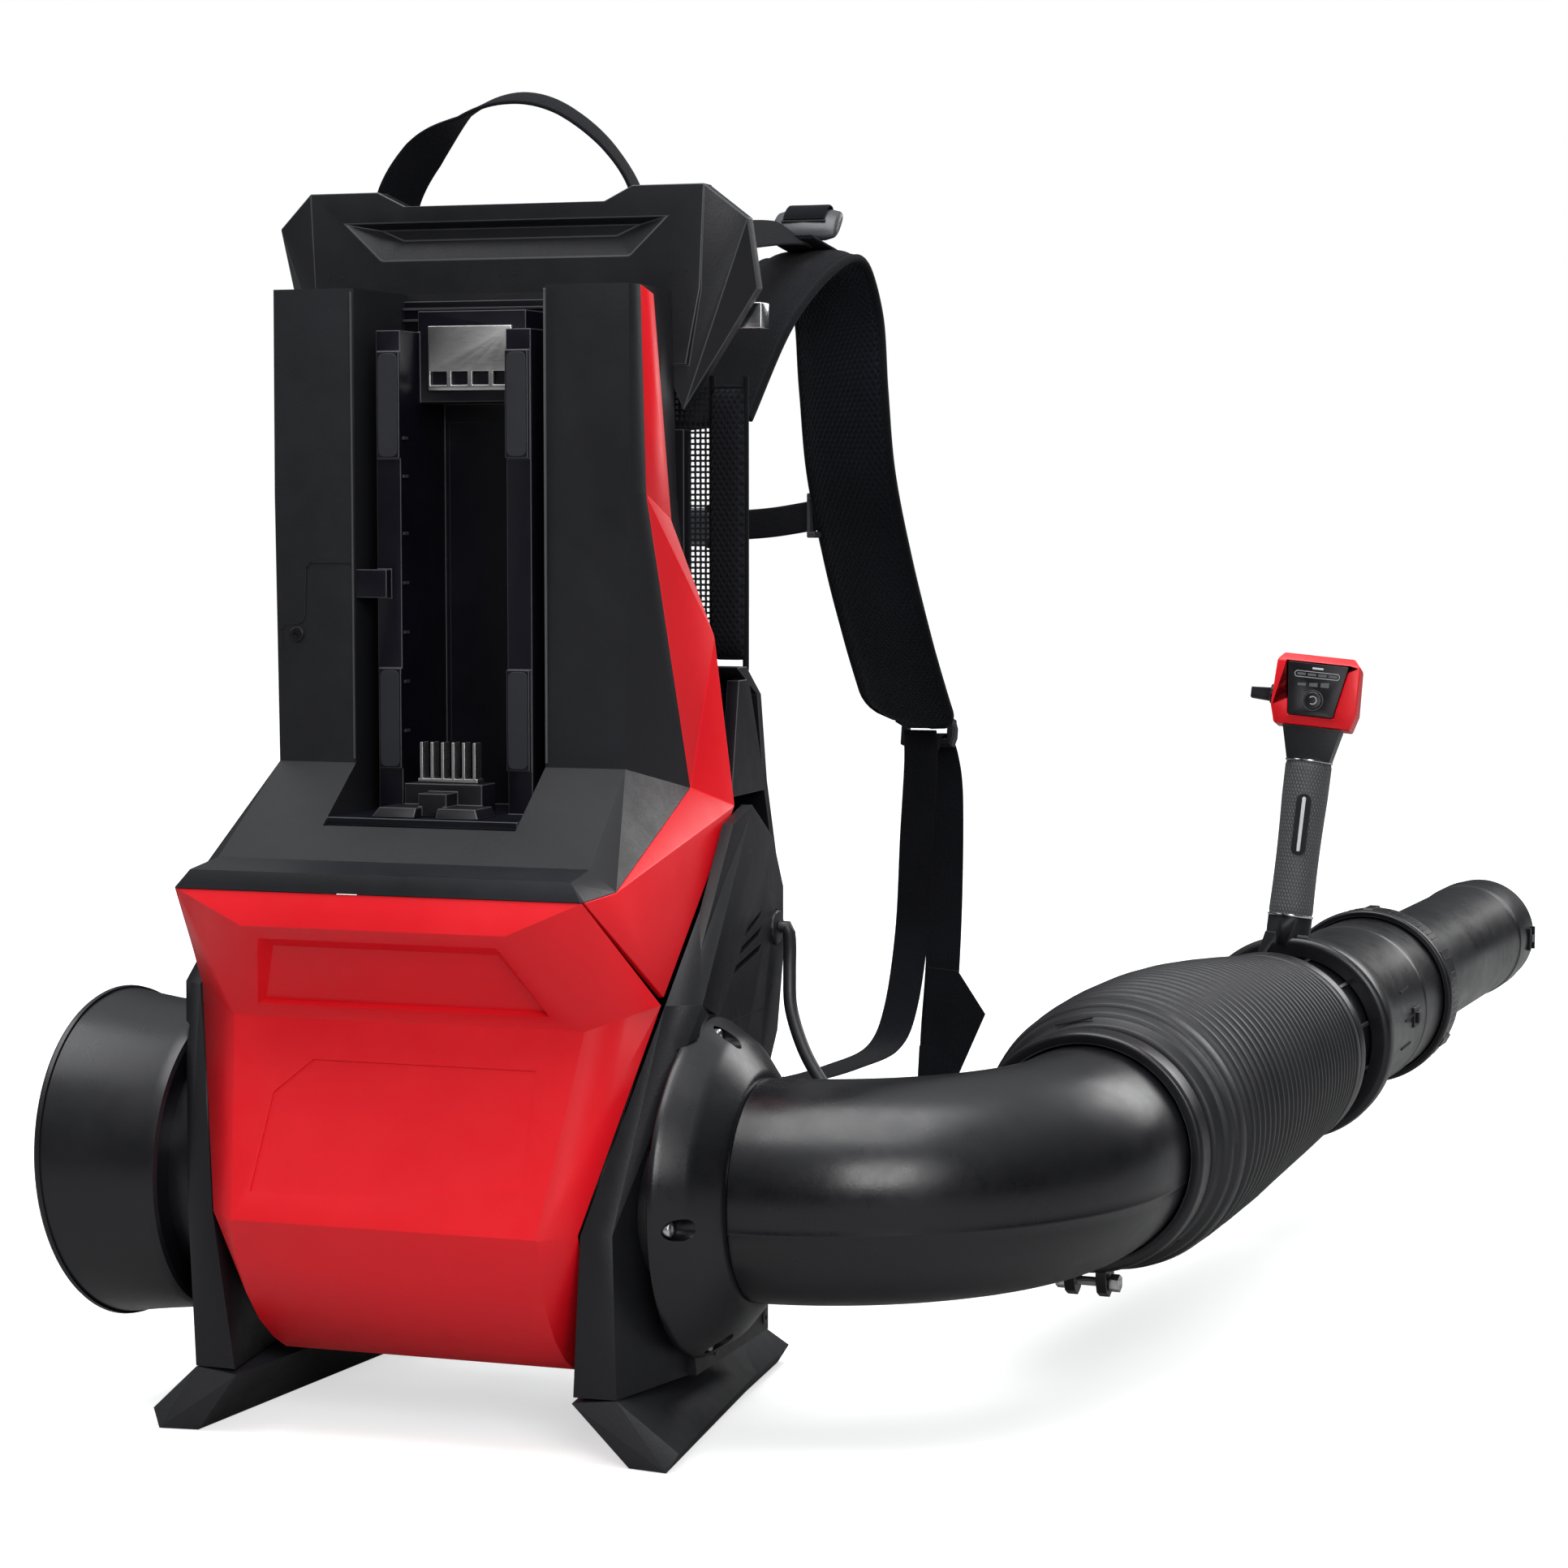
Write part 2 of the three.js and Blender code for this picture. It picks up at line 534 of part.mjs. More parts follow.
function inletGuard() {
  const rings = [26, 42].map((r) => turnedX(ring(r - 1, r + 1, -117, -114), 14));
  const rim = turnedX(ring(DUCT_INNER_R - 6, DUCT_INNER_R - 1, -117, -114), 16);
  const hub = turnedX(rod(9, -117, -114), 8);
  const spokes = [0, 1, 2].map((i) =>
    solid(new THREE.BoxGeometry(2.6, 2.4, 2 * DUCT_INNER_R - 8).rotateX((i * Math.PI) / 3).translate(-115.5, FAN_Y, FAN_Z)));
  return join(hub, rim, ...rings, ...spokes);
}

function fanDuct() {
  return turnedX(ring(DUCT_INNER_R, DUCT_OUTER_R, -DUCT_HALF_LENGTH - 2, DUCT_HALF_LENGTH));
}

// A blade from hub to rim, set at an angle to the axis and repeated round it.
function blades(count, xFrom, chord, rInner, rOuter, pitchDegrees, thickness) {
  const made = [];
  for (let i = 0; i < count; i++) {
    const turn = (i / count) * 2 * Math.PI;
    const points = [[rInner, pitchDegrees], [rOuter, pitchDegrees * 0.55]].flatMap(([r, pitch]) =>
      [[0, -1], [0, 1], [1, -1], [1, 1]].map(([along, side]) => {
        const across = side * thickness / 2 + (along - 0.5) * chord * Math.sin(rad(pitch));
        const x = xFrom + along * chord * Math.cos(rad(pitch));
        return [x, FAN_Y + r * Math.cos(turn) - across * Math.sin(turn),
          FAN_Z + r * Math.sin(turn) + across * Math.cos(turn)];
      }));
    made.push(hull(points));
  }
  return join(...made);
}

function fanRotor() {
  const hub = turnedX([[5.4, -95], [16, -95], [26, -84], [30, -70], [30, -52], [5.4, -52]], 16);
  return join(hub, blades(9, -86, 40, 27, DUCT_INNER_R - 1.5, 48, 2.4));
}

function statorVanes() {
  const pod = turnedX([[31.5, -44], [34, -44], [34, 47], [32, 62], [24, 86], [10, 104], [0, 106], [0, 47],
    [31.5, 47]], 16);
  const rim = turnedX(ring(DUCT_INNER_R - 4, DUCT_INNER_R - 1, -20, 20), 16);
  return join(pod, rim, blades(7, -18, 34, 32, DUCT_INNER_R - 3, -22, 3));
}

const MOTOR_SEGMENTS = 16;
const motorCase = () =>
  turnedX([[12, -40], [30.2, -40], [30.2, 42], [12, 42], [12, 38], [27, 38], [27, -32], [12, -32]],
    MOTOR_SEGMENTS);
const motorStator = () => turnedX(ring(17.5, 26.2, -30, 26), MOTOR_SEGMENTS);
const motorRotor = () =>
  join(turnedX(rod(5, -96, 36), FINE_SEGMENTS), turnedX(rod(16.4, -28, 24), MOTOR_SEGMENTS));
const motorBearing = (x) => turnedX(ring(5.3, 11.6, x, x + 8), FINE_SEGMENTS);

function outletFlange() {
  const outer = [[DUCT_OUTER_R, SIDE_X + GAP], [FLANGE_R, SIDE_X + GAP], [FLANGE_R, 142], [78, 156],
    [61, ELBOW_START_X]];
  const inner = [[55, ELBOW_START_X], [DUCT_INNER_R, DUCT_HALF_LENGTH + GAP],
    [DUCT_OUTER_R, DUCT_HALF_LENGTH + GAP]];
  const flange = turnedX([...outer, ...inner]);
  const recess = (degrees) => {
    const y = FAN_Y + 80 * Math.cos(rad(degrees));
    const z = FAN_Z + 80 * Math.sin(rad(degrees));
    return solid(new THREE.CylinderGeometry(5.5, 5.5, 24, 8).rotateZ(Math.PI / 2).translate(158, y, z));
  };
  return cut(flange, ...[95, 185, 255, 5].map(recess));
}

function elbow() {
  const start = new THREE.Vector3(ELBOW_START_X + GAP, FAN_Y, FAN_Z);
  const turn = Math.PI / 2 - TUBE_HEADING;
  const centres = [];
  for (let i = 0; i <= BEND_STEPS; i++) {
    const a = (i / BEND_STEPS) * turn;
    centres.push(new THREE.Vector3(BEND_R * Math.sin(a), BEND_R * (1 - Math.cos(a)), 0));
  }
  const end = centres[BEND_STEPS];
  const sx = TUBE_START.x - start.x - end.x;
  const sy = TUBE_START.y - start.y - end.y;
  const heading = new THREE.Vector3(Math.sin(TUBE_HEADING), Math.cos(TUBE_HEADING), 0);
  const tail = sy / heading.y;
  const lead = sx - tail * heading.x;
  const path = [new THREE.Vector3(0, 0, 0), ...centres.map((c) => c.clone().setX(c.x + lead))];
  path.push(path[path.length - 1].clone().addScaledVector(heading, tail));
  const rise = TUBE_START.z - start.z;
  const rings = path.map((p, i) => {
    const before = path[Math.max(0, i - 1)];
    const after = path[Math.min(path.length - 1, i + 1)];
    const along = i === 0 ? new THREE.Vector3(1, 0, 0)
      : i === path.length - 1 ? heading : after.clone().sub(before).normalize();
    const sideways = new THREE.Vector3(along.y, -along.x, 0);
    const centre = p.clone().add(start);
    centre.z += rise * (i / (path.length - 1));
    return { centre, sideways, outer: ELBOW_R, inner: ELBOW_R - ELBOW_WALL };
  });
  const grommet = solid(new THREE.CylinderGeometry(7.5, 7, 8, FINE_SEGMENTS)
    .rotateZ(rad(GROMMET_TURN)).translate(...GROMMET_CENTRE));
  return join(hollowRings(rings, ELBOW_SIDES), grommet);
}

// A hollow round tube through a list of rings, each with its centre, horizontal direction and radii.
function hollowRings(rings, sides) {
  const positions = [];
  const faces = [];
  const index = (i, wall, k) => (i * 2 + wall) * sides + (k % sides);
  rings.forEach(({ centre, sideways, outer, inner }) => {
    [outer, inner].forEach((r) => {
      for (let k = 0; k < sides; k++) {
        const a = (k / sides) * 2 * Math.PI;
        const p = centre.clone().addScaledVector(sideways, r * Math.cos(a));
        positions.push(p.x, p.y, p.z + r * Math.sin(a));
      }
    });
  });
  const quad = (a, b, c, d) => faces.push(a, b, c, a, c, d);
  for (let k = 0; k < sides; k++) {
    for (let i = 0; i + 1 < rings.length; i++) {
      quad(index(i, 0, k), index(i + 1, 0, k), index(i + 1, 0, k + 1), index(i, 0, k + 1));
      quad(index(i, 1, k), index(i, 1, k + 1), index(i + 1, 1, k + 1), index(i + 1, 1, k));
    }
    const last = rings.length - 1;
    quad(index(0, 0, k), index(0, 0, k + 1), index(0, 1, k + 1), index(0, 1, k));
    quad(index(last, 0, k), index(last, 1, k), index(last, 1, k + 1), index(last, 0, k + 1));
  }
  return closedSolid(positions, faces);
}

// ---------- tube line: stations run along +Y of the tube group ----------
function clampRing() {
  const hoop = turnedY([[ELBOW_R + 1.2, -14], [66, -14], [66, 4], [62, HOSE_START - GAP],
    [ELBOW_R - 3, HOSE_START - GAP], [ELBOW_R - 3, GAP], [ELBOW_R + 1.2, GAP]]);
  const lug = (x) => box([x - 3, -12, -80], [x + 3, 4, -62]);
  const boltHole = solid(new THREE.CylinderGeometry(3, 3, 60, 8).rotateZ(Math.PI / 2)
    .translate(0, -4, -72));
  return cut(join(hoop, lug(-9), lug(9)), boltHole);
}

function clampBolt() {
  const shank = solid(new THREE.CylinderGeometry(2.6, 2.6, 36, 8).rotateZ(Math.PI / 2)
    .translate(0, -4, -72));
  const head = solid(new THREE.CylinderGeometry(5, 5, 5, 6).rotateZ(Math.PI / 2).translate(15.2, -4, -72));
  const nut = solid(new THREE.CylinderGeometry(5, 5, 5, 6).rotateZ(Math.PI / 2).translate(-15.2, -4, -72));
  return join(shank, head, nut);
}

// A thin bellows drawn as a smooth sleeve through [station, radius, rise] rings.
const bellows = (stations) =>
  hollowRings(
    stations.map(([s, r, rise]) => ({
      centre: new THREE.Vector3(0, s, rise), sideways: new THREE.Vector3(1, 0, 0), outer: r, inner: r - HOSE_WALL,
    })),
    SEGMENTS,
  );
const hoseNear = () =>
  bellows([[HOSE_START, 65, 0], [HOSE_START + 14, 74, 1], [90, HOSE_R, 4], [HOSE_MIDDLE, 74.5, 5]]);
const hoseFar = () =>
  bellows([[HOSE_MIDDLE + GAP, 74.5, 5], [290, 69, 2.5], [HOSE_END, HOSE_FAR_R, 0]]);

function swivelCollar() {
  return turnedY([[SLEEVE_R - 2.5, HOSE_END + GAP], [61, HOSE_END + GAP], [64, HOSE_END + 12],
    [61, HOSE_END + 24], [SLEEVE_R, HOSE_END + 26], [SLEEVE_R, SLEEVE_END], [SLEEVE_R - 2.5, SLEEVE_END]]);
}

// The outside of the tube behind its flared lip.
const tubeSkin = [[64, TUBE_LIP], [67, TUBE_LIP + 5], [66, TUBE_LIP + 20], [59.5, TUBE_LIP + 50],
  [TUBE_R, TUBE_LIP + 64], [TUBE_R, TUBE_END]];

function midTube() {
  const bore = TUBE_R - 2.5;
  const skin = turnedY([[SLEEVE_R + 1, TUBE_LIP], ...tubeSkin, [NOZZLE_R + 0.8, TUBE_END],
    [NOZZLE_R + 0.8, TUBE_END - 16], [bore, TUBE_END - 18], [bore, SLEEVE_END + 14],
    [SLEEVE_R + 1, SLEEVE_END + 12]]);
  const catchLug = box([TUBE_R - 1, 560, -4], [TUBE_R + 3, 572, 6]);
  return join(skin, catchLug);
}

function lockNut() {
  const inside = TUBE_R + TURNING_GAP;
  const nut = turnedY([[inside, TUBE_END - 30], [inside + 2.2, TUBE_END - 30], [60, TUBE_END + 4],
    [58, TUBE_END + 10], [NOZZLE_R + 1, TUBE_END + 10], [NOZZLE_R + 1, TUBE_END + GAP],
    [inside, TUBE_END + GAP]]);
  const lugs = [];
  for (let i = 0; i < LOCK_LUGS; i++) {
    const a = ((i + 0.5) / LOCK_LUGS) * 2 * Math.PI;
    lugs.push(solid(new THREE.BoxGeometry(5, 28, 7).translate(59.7, TUBE_END - 12, 0).rotateY(a)));
  }
  return join(nut, ...lugs);
}

function nozzle() {
  const skin = turnedY([[NOZZLE_R - 3, 560], [NOZZLE_R, 560], [NOZZLE_R, NOZZLE_END - 30],
    [NOZZLE_R - 1, NOZZLE_END], [NOZZLE_R - 4, NOZZLE_END], [NOZZLE_R - 3, NOZZLE_END - 30]]);
  const lug = box([NOZZLE_R - 2, NOZZLE_END - 34, -5], [NOZZLE_R + 4, NOZZLE_END - 14, 5]);
  return join(skin, lug);
}

// ---------- control handle: local +Z runs up the grip ----------
const GRIP_BOTTOM = 80;
const GRIP_TOP = 182;
const TRIGGER_SLOT = 5; // half its width
const HEAD_BOTTOM = 204;
const HEAD_TOP = 251;
const HEAD_HALF_WIDTH = 28;
const PANEL_LOW = 16; // half-widths of the panel at its lower and upper edges
const PANEL_HIGH = 19.5;
const PANEL_BACK_Y = -18;
const BUTTON = [-1, -22.2, 221];
const LEVER_X = -22; // inner end of the lever's boss
const gripGroup = new THREE.Group();
gripGroup.position.set(-11, HANDLE_STATION, 0);
gripGroup.rotation.set(rad(-8), rad(4.5), rad(10));
tubeLine.add(gripGroup);

// An upright oval column; `taper` is the top's size as a share of the bottom's.
function oval(rx, ry, z0, z1, taper = 1) {
  const geometry = new THREE.CylinderGeometry(taper, 1, z1 - z0, 16).rotateX(Math.PI / 2);
  return solid(geometry.scale(rx, ry, 1).translate(0, 0, (z0 + z1) / 2));
}

// Corners of a box-like block from its lower and upper half-widths in X and Y.
const block = ([x0, y0, z0], [x1, y1, z1], shift = 0) =>
  bothSides([[x0, -y0, z0], [x0, y0, z0], [x1, -y1, z1], [x1, y1, z1]])
    .map(([x, y, z]) => [x, y + shift, z]);

// The stem stands on the tube, so it is drawn in the tube's coordinates and cut to its round.
function handleStem() {
  const foot = hull(block([18, 15, 50], [14, 14, 68]));
  const core = oval(12, 13.5, 50, HEAD_BOTTOM);
  const collar = oval(14.5, 16.5, 56, GRIP_BOTTOM - GAP);
  const neck = hull(block([14, 15, GRIP_TOP + GAP], [19, 18, HEAD_BOTTOM]));
  gripGroup.updateMatrix();
  const triggerSlot = box([-TRIGGER_SLOT, 4, GRIP_BOTTOM + 14], [TRIGGER_SLOT, 30, GRIP_TOP - 12]);
  const raised = cut(join(foot, core, collar, neck), triggerSlot).transform(gripGroup.matrix.elements);
  const keepOut = [[0, TUBE_LIP - 20], ...tubeSkin.map(([r, s]) => [r + GAP, s]), [0, TUBE_END]];
  return cut(raised, turnedY(keepOut));
}

const gripSleeve = () =>
  cut(oval(14.5, 17.5, GRIP_BOTTOM, GRIP_TOP, 1.06), oval(12.3, 13.8, 70, GRIP_TOP + 2),
    box([-TRIGGER_SLOT, 8, GRIP_BOTTOM + 14], [TRIGGER_SLOT, 30, GRIP_TOP - 12]));

function controlHead() {
  const wide = HEAD_BOTTOM + 12;
  const shell = hull([
    ...block([25, 19, HEAD_BOTTOM + GAP], [HEAD_HALF_WIDTH, 23, wide], 1),
    ...block([HEAD_HALF_WIDTH, 23, wide], [HEAD_HALF_WIDTH - 1, 22, HEAD_TOP - 5], 1),
    ...block([HEAD_HALF_WIDTH, 23, wide], [HEAD_HALF_WIDTH - 5, 18, HEAD_TOP], 1),
  ]);
  const panelSeat = hull(slanted(PANEL_LOW + GAP, PANEL_HIGH + GAP, -40, PANEL_BACK_Y));
  const leverSlot = box([-40, -8, 214], [LEVER_X, 8, 234]);
  return cut(shell, panelSeat, leverSlot);
}

// Corners of the panel, which is wider at its top, between two depths.
const slanted = (low, high, front, back) =>
  [front, back].flatMap((y) => [[-low, y, 211], [low - 3, y, 211], [-high, y, 245], [high, y, 245]]);

function headPanel() {
  const plate = hull(slanted(PANEL_LOW, PANEL_HIGH, -23, PANEL_BACK_Y - GAP));
  const well = solid(new THREE.CylinderGeometry(6.4, 6.4, 12, FINE_SEGMENTS).translate(...BUTTON));
  return cut(plate, well);
}

const powerButton = () =>
  solid(new THREE.CylinderGeometry(5.8, 5.8, 4.8, FINE_SEGMENTS).translate(...BUTTON));

function cruiseLever() {
  const boss = solid(new THREE.CylinderGeometry(6.5, 6.5, 8, FINE_SEGMENTS).rotateZ(Math.PI / 2)
    .translate(LEVER_X - 4 - GAP, 0, 224));
  const paddle = hull([-1, 1].flatMap((side) =>
    [[-29, 3, 219], [-43, 6, 220], [-29, 3, 228], [-43, 6, 227]].map(([x, y, z]) => [x, y * side, z])));
  return join(boss, paddle);
}

const trigger = () =>
  hull([[16, 96], [22, 98], [25, 104], [27, 156], [22, 164], [16, 168]].flatMap(([y, z]) =>
    [[-4, y, z], [4, y, z]]));

// ---------- harness ----------
const WEBBING_WIDTH = 20;
const PAD_PATH = [[88, 60, 530], [97, 108, 586], [107, 160, 620], [111, 196, 624], [115, 215, 598],
  [119, 214, 552], [121, 222, 504], [123, 250, 452], [123, 290, 404], [122, 330, 366], [121, 352, 350]];
const LIFTER_PATH = [[89, 6, 622], [96, 60, 636], [102, 118, 641], [106, 150, 641], [107, 162, 639]];
const ADJUSTER_PATH = [[121, 372, 322], [118, 370, 276], [115, 370, 216], [113, 352, 168],
  [112, 318, 148], [112, 240, 148], [110, 160, 152], [108, 84, 160]];
const TAIL_PATH = [[129, 392, 322], [128, 406, 279], [126, 407, 212], [124, 394, 150], [122, 384, 96]];
const CHEST_PATH = [[91, 247, 479], [50, 268, 474], [0, 278, 472], [-50, 268, 474], [-91, 247, 479]];

function shoulderPad(sign) {
  return band(onSide(sign, PAD_PATH), 62, 13, [0.94 * sign, -0.34, 0], 22);
}

const lifterStrap = (sign) => band(onSide(sign, LIFTER_PATH), WEBBING_WIDTH, 2, [1, -0.1 * sign, 0], 8);

function lifterBuckle(sign) {
  const frame = box([-19.5, -12, -3], [19.5, 12, 3]);
  const slot = box([-14, -4, -6], [14, 4, 6]);
  return cut(frame, slot).rotate([42, 0, 0]).translate([sign * 109, 177, 647]);
}

function ladderBuckle(sign) {
  const frame = box([-17, -5, -9], [17, 5, 9]);
  const slot = box([-13, -8, -4], [13, 8, 4]);
  return cut(frame, slot).rotate([-12, 0, 0]).translate([sign * 121, 386, 341]);
}

// One length of webbing: up from the lower anchor, through the ladder buckle, and down as a free tail.
function adjusterStrap(sign) {
  const run = band(onSide(sign, ADJUSTER_PATH), WEBBING_WIDTH, 2, [1, 0, 0], 14);
  const tail = band(onSide(sign, TAIL_PATH), WEBBING_WIDTH, 2, [1, 0, 0], 6);
  const turnOver = hull(onSide(sign, [[111.5, 371, 319], [131, 371, 319], [111.5, 371, 322], [131, 371, 322],
    [119.5, 393, 319], [138.5, 393, 319], [119.5, 393, 322], [138.5, 393, 322]]));
  return join(run, tail, turnOver);
}

const chestStrap = () => band(CHEST_PATH, WEBBING_WIDTH - 2, 2, [0, 0, 1], 10);

function backPad(sign) {
  return hull(onSide(sign, [[106, 13, 404], [124, 13, 404], [106, 36, 404], [122, 36, 404],
    [106, 15, 548], [124, 15, 548], [106, 34, 548], [122, 34, 548]]));
}

function backMesh() {
  return box([-105.5, 24, 402], [105.5, 25.6, 550]);
}

function carryHandle() {
  const half = [[69, 14, 618], [71, 14, 652], [52, 14, 680], [26, 14, 699]];
  return band([...flipX(half), [0, 14, 706], ...half.reverse()], 25, 2.6, [0, 1, 0], 14)
    .translate([-4, 0, 0]);
}

// ---------- electronics and cable ----------
function controller() {
  const tray = box([-66, -132, 239], [66, -52, 246]);
  const fins = [-60, -44, -28, -12, 4, 20, 36, 52].map((x) => box([x, -128, 245], [x + 5, -56, 268]));
  return join(tray, ...fins);
}

function controlCable() {
  return sweptRound(new THREE.CatmullRomCurve3(CABLE_ROUTE.map(v3)), CABLE_R, 8, 14);
}

function cableGland() {
  return solid(new THREE.CylinderGeometry(9.6, 9.6, 8, FINE_SEGMENTS).rotateZ(Math.PI / 2)
    .translate(SIDE_X - 2.4, CABLE_HOLE[1], CABLE_HOLE[2]));
}

// A bent metal strip behind the back plate's right wing.
function hookClip() {
  const strip = box([118, 20.5, 580], [135, 22.5, 594]);
  const bend = box([132.6, 20.5, 580], [135, 33, 594]);
  return join(strip, bend);
}

// ---------- every piece in its place ----------
place("tower_shell", towerShell(), darkShell);
place("bay_liner", bayLiner(), blackShell);
place("strike_plate", strikePlate(), steel);
place("terminal_block", terminalBlock(), blackShell);
place("terminal_contacts", terminalContacts(), copper);
place("front_cover", frontCover(), redShell);
place("back_plate", backPlate(), blackShell);
place("rear_frame", rearFrame(), blackShell);
place("controller", controller(), boardPlastic);
place("inlet_bell", inletBell(), ductPlastic);
place("inlet_guard", inletGuard(), blackShell);
place("fan_duct", fanDuct(), ductPlastic);
place("fan_rotor", fanRotor(), blackShell);
place("stator_vanes", statorVanes(), blackShell);
place("motor_case", motorCase(), steel);
place("motor_stator", motorStator(), copper);
place("motor_rotor", motorRotor(), steel);
place("motor_bearing_front", motorBearing(-40), steel);
place("motor_bearing_rear", motorBearing(27), steel);
place("outlet_flange", outletFlange(), ductPlastic);
place("elbow", elbow(), ductPlastic);
place("clamp_ring", clampRing(), ductPlastic, tubeLine);
place("clamp_bolt", clampBolt(), steel, tubeLine);
place("hose_near", hoseNear(), bellowsRubber, tubeLine);
place("hose_far", hoseFar(), bellowsRubber, tubeLine);
place("swivel_collar", swivelCollar(), ductPlastic, tubeLine);
place("mid_tube", midTube(), ductPlastic, tubeLine);
place("lock_nut", lockNut(), ductPlastic, tubeLine);
place("nozzle", nozzle(), ductPlastic, tubeLine);
place("handle_stem", handleStem(), darkShell, tubeLine);
place("grip_sleeve", gripSleeve(), bellowsRubber, gripGroup);
place("control_head", controlHead(), redShell, gripGroup);
place("head_panel", headPanel(), blackShell, gripGroup);
place("power_button", powerButton(), blackShell, gripGroup);
place("cruise_lever", cruiseLever(), blackShell, gripGroup);
place("trigger", trigger(), blackShell, gripGroup);
for (const [side, sign] of SIDES) {
  place(`side_panel_${side}`, sidePanel(sign), redShell);
  place(`side_cover_${side}`, sideCover(sign), darkShell);
  place(`foot_${side}`, foot(sign), blackShell);
  place(`shoulder_pad_${side}`, shoulderPad(sign), padFabric);
  place(`lifter_strap_${side}`, lifterStrap(sign), webbing);
  place(`lifter_buckle_${side}`, lifterBuckle(sign), blackShell);
  place(`ladder_buckle_${side}`, ladderBuckle(sign), blackShell);
  place(`adjuster_strap_${side}`, adjusterStrap(sign), webbing);
  place(`back_pad_${side}`, backPad(sign), padFabric);
}
place("chest_strap", chestStrap(), webbing);
place("back_mesh", backMesh(), meshFabric);
place("carry_handle", carryHandle(), webbing);
place("hook_clip", hookClip(), steel);
place("cable_gland", cableGland(), cableRubber);
place("control_cable", controlCable(), cableRubber);

export default part;
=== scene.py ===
import math

import bmesh
import bpy
from mathutils import Matrix, Vector


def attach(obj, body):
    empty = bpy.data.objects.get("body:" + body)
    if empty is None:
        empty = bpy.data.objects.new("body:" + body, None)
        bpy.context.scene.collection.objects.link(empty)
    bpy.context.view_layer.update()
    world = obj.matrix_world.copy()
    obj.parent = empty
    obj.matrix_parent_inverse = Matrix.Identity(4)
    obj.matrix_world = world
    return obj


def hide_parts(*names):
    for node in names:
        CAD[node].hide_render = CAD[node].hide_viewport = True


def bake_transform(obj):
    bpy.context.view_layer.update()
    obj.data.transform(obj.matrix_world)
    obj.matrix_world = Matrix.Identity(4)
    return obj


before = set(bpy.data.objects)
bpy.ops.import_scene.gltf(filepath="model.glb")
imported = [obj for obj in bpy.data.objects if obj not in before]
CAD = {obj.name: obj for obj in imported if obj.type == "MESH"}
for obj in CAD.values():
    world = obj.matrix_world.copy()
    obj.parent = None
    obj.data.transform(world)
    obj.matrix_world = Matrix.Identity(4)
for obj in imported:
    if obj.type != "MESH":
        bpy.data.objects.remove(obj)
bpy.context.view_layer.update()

# Looks for the backpack leaf blower. Shapes are drawn in millimetres in the coordinates of
# the part they belong to, and CHASSIS, FAN, TUBE and GRIP carry them into the row's frame.

rad = math.radians

MM = 0.001
CHASSIS = Matrix.Translation(Vector((-102.3, -483.05, 0)) * MM) @ Matrix.Scale(MM, 4)
FAN = CHASSIS @ Matrix.Translation((0, -78, 133)) @ Matrix.Rotation(rad(-90), 4, "Z")
TUBE = CHASSIS @ Matrix.Translation((306, 75, 136.5)) @ Matrix.Rotation(rad(-3.1), 4, "Z")
GRIP = (TUBE @ Matrix.Translation((-11, 447, 0)) @ Matrix.Rotation(rad(-8), 4, "X")
        @ Matrix.Rotation(rad(4.5), 4, "Y") @ Matrix.Rotation(rad(10), 4, "Z"))
SIDES = (("right", 1), ("left", -1))


# ---------- camera ----------
camera = bpy.data.objects.new("camera", bpy.data.cameras.new("camera"))
camera.data.lens = 84.44
camera.data.sensor_width = 36
camera.location = (0.6796, -2.33625, 0.4893)
camera.rotation_euler = (rad(90 - 4.443), 0, rad(18.70))
bpy.context.scene.collection.objects.link(camera)
bpy.context.scene.camera = camera


# ---------- material helpers ----------
def add(tree, kind, inputs=None, **settings):
    """A new node; an input is a value or another node's output."""
    node = tree.nodes.new("ShaderNode" + kind)
    for key, value in settings.items():
        setattr(node, key, value)
    for key, value in (inputs or {}).items():
        if isinstance(value, bpy.types.NodeSocket):
            tree.links.new(value, node.inputs[key])
        else:
            node.inputs[key].default_value = value
    return node


def new_material(name, roughness, metallic=0.0, **constants):
    """A material with its node tree and shader, constants set on the shader's own sockets."""
    made = bpy.data.materials.new(name)
    made.use_nodes = True
    shader = made.node_tree.nodes["Principled BSDF"]
    shader.inputs["Roughness"].default_value = roughness
    shader.inputs["Metallic"].default_value = metallic
    for key, value in constants.items():
        shader.inputs[key.replace("_", " ").title().replace("Ior", "IOR")].default_value = value
    return made, made.node_tree, shader


def math_node(tree, operation, a, b=0.0):
    return add(tree, "Math", {0: a, 1: b}, operation=operation).outputs[0]


def place_of(tree, uv=False):
    return add(tree, "TexCoord").outputs["UV" if uv else "Object"]


def noise(tree, where, scale, detail=3.0, rough=0.55):
    made = add(tree, "TexNoise", {"Vector": where, "Scale": scale, "Detail": detail, "Roughness": rough})
    return made.outputs["Fac"]


def spread(tree, value, low, high, start=0.3, stop=0.7):
    """Maps a noise value to the range low to high."""
    node = add(tree, "MapRange", {"Value": value, "From Min": start, "From Max": stop,
                                  "To Min": low, "To Max": high})
    return node.outputs["Result"]


def tint(tree, factor, dark, light):
    """A colour between two, by a factor socket."""
    node = add(tree, "Mix", data_type="RGBA")
    tree.links.new(factor, node.inputs["Factor"])
    node.inputs["A"].default_value = (*dark, 1)
    node.inputs["B"].default_value = (*light, 1)
    return node.outputs["Result"]


def shade(color, amount):
    return tuple(min(1.0, c * amount) for c in color)


def bump(tree, shader, *layers):
    """Stacks (height socket, depth in metres) layers into the shader's normal."""
    normal = None
    for height, depth in layers:
        inputs = {"Height": height, "Distance": depth, "Strength": 1.0}
        if normal:
            inputs["Normal"] = normal
        normal = add(tree, "Bump", inputs).outputs["Normal"]
    tree.links.new(normal, shader.inputs["Normal"])


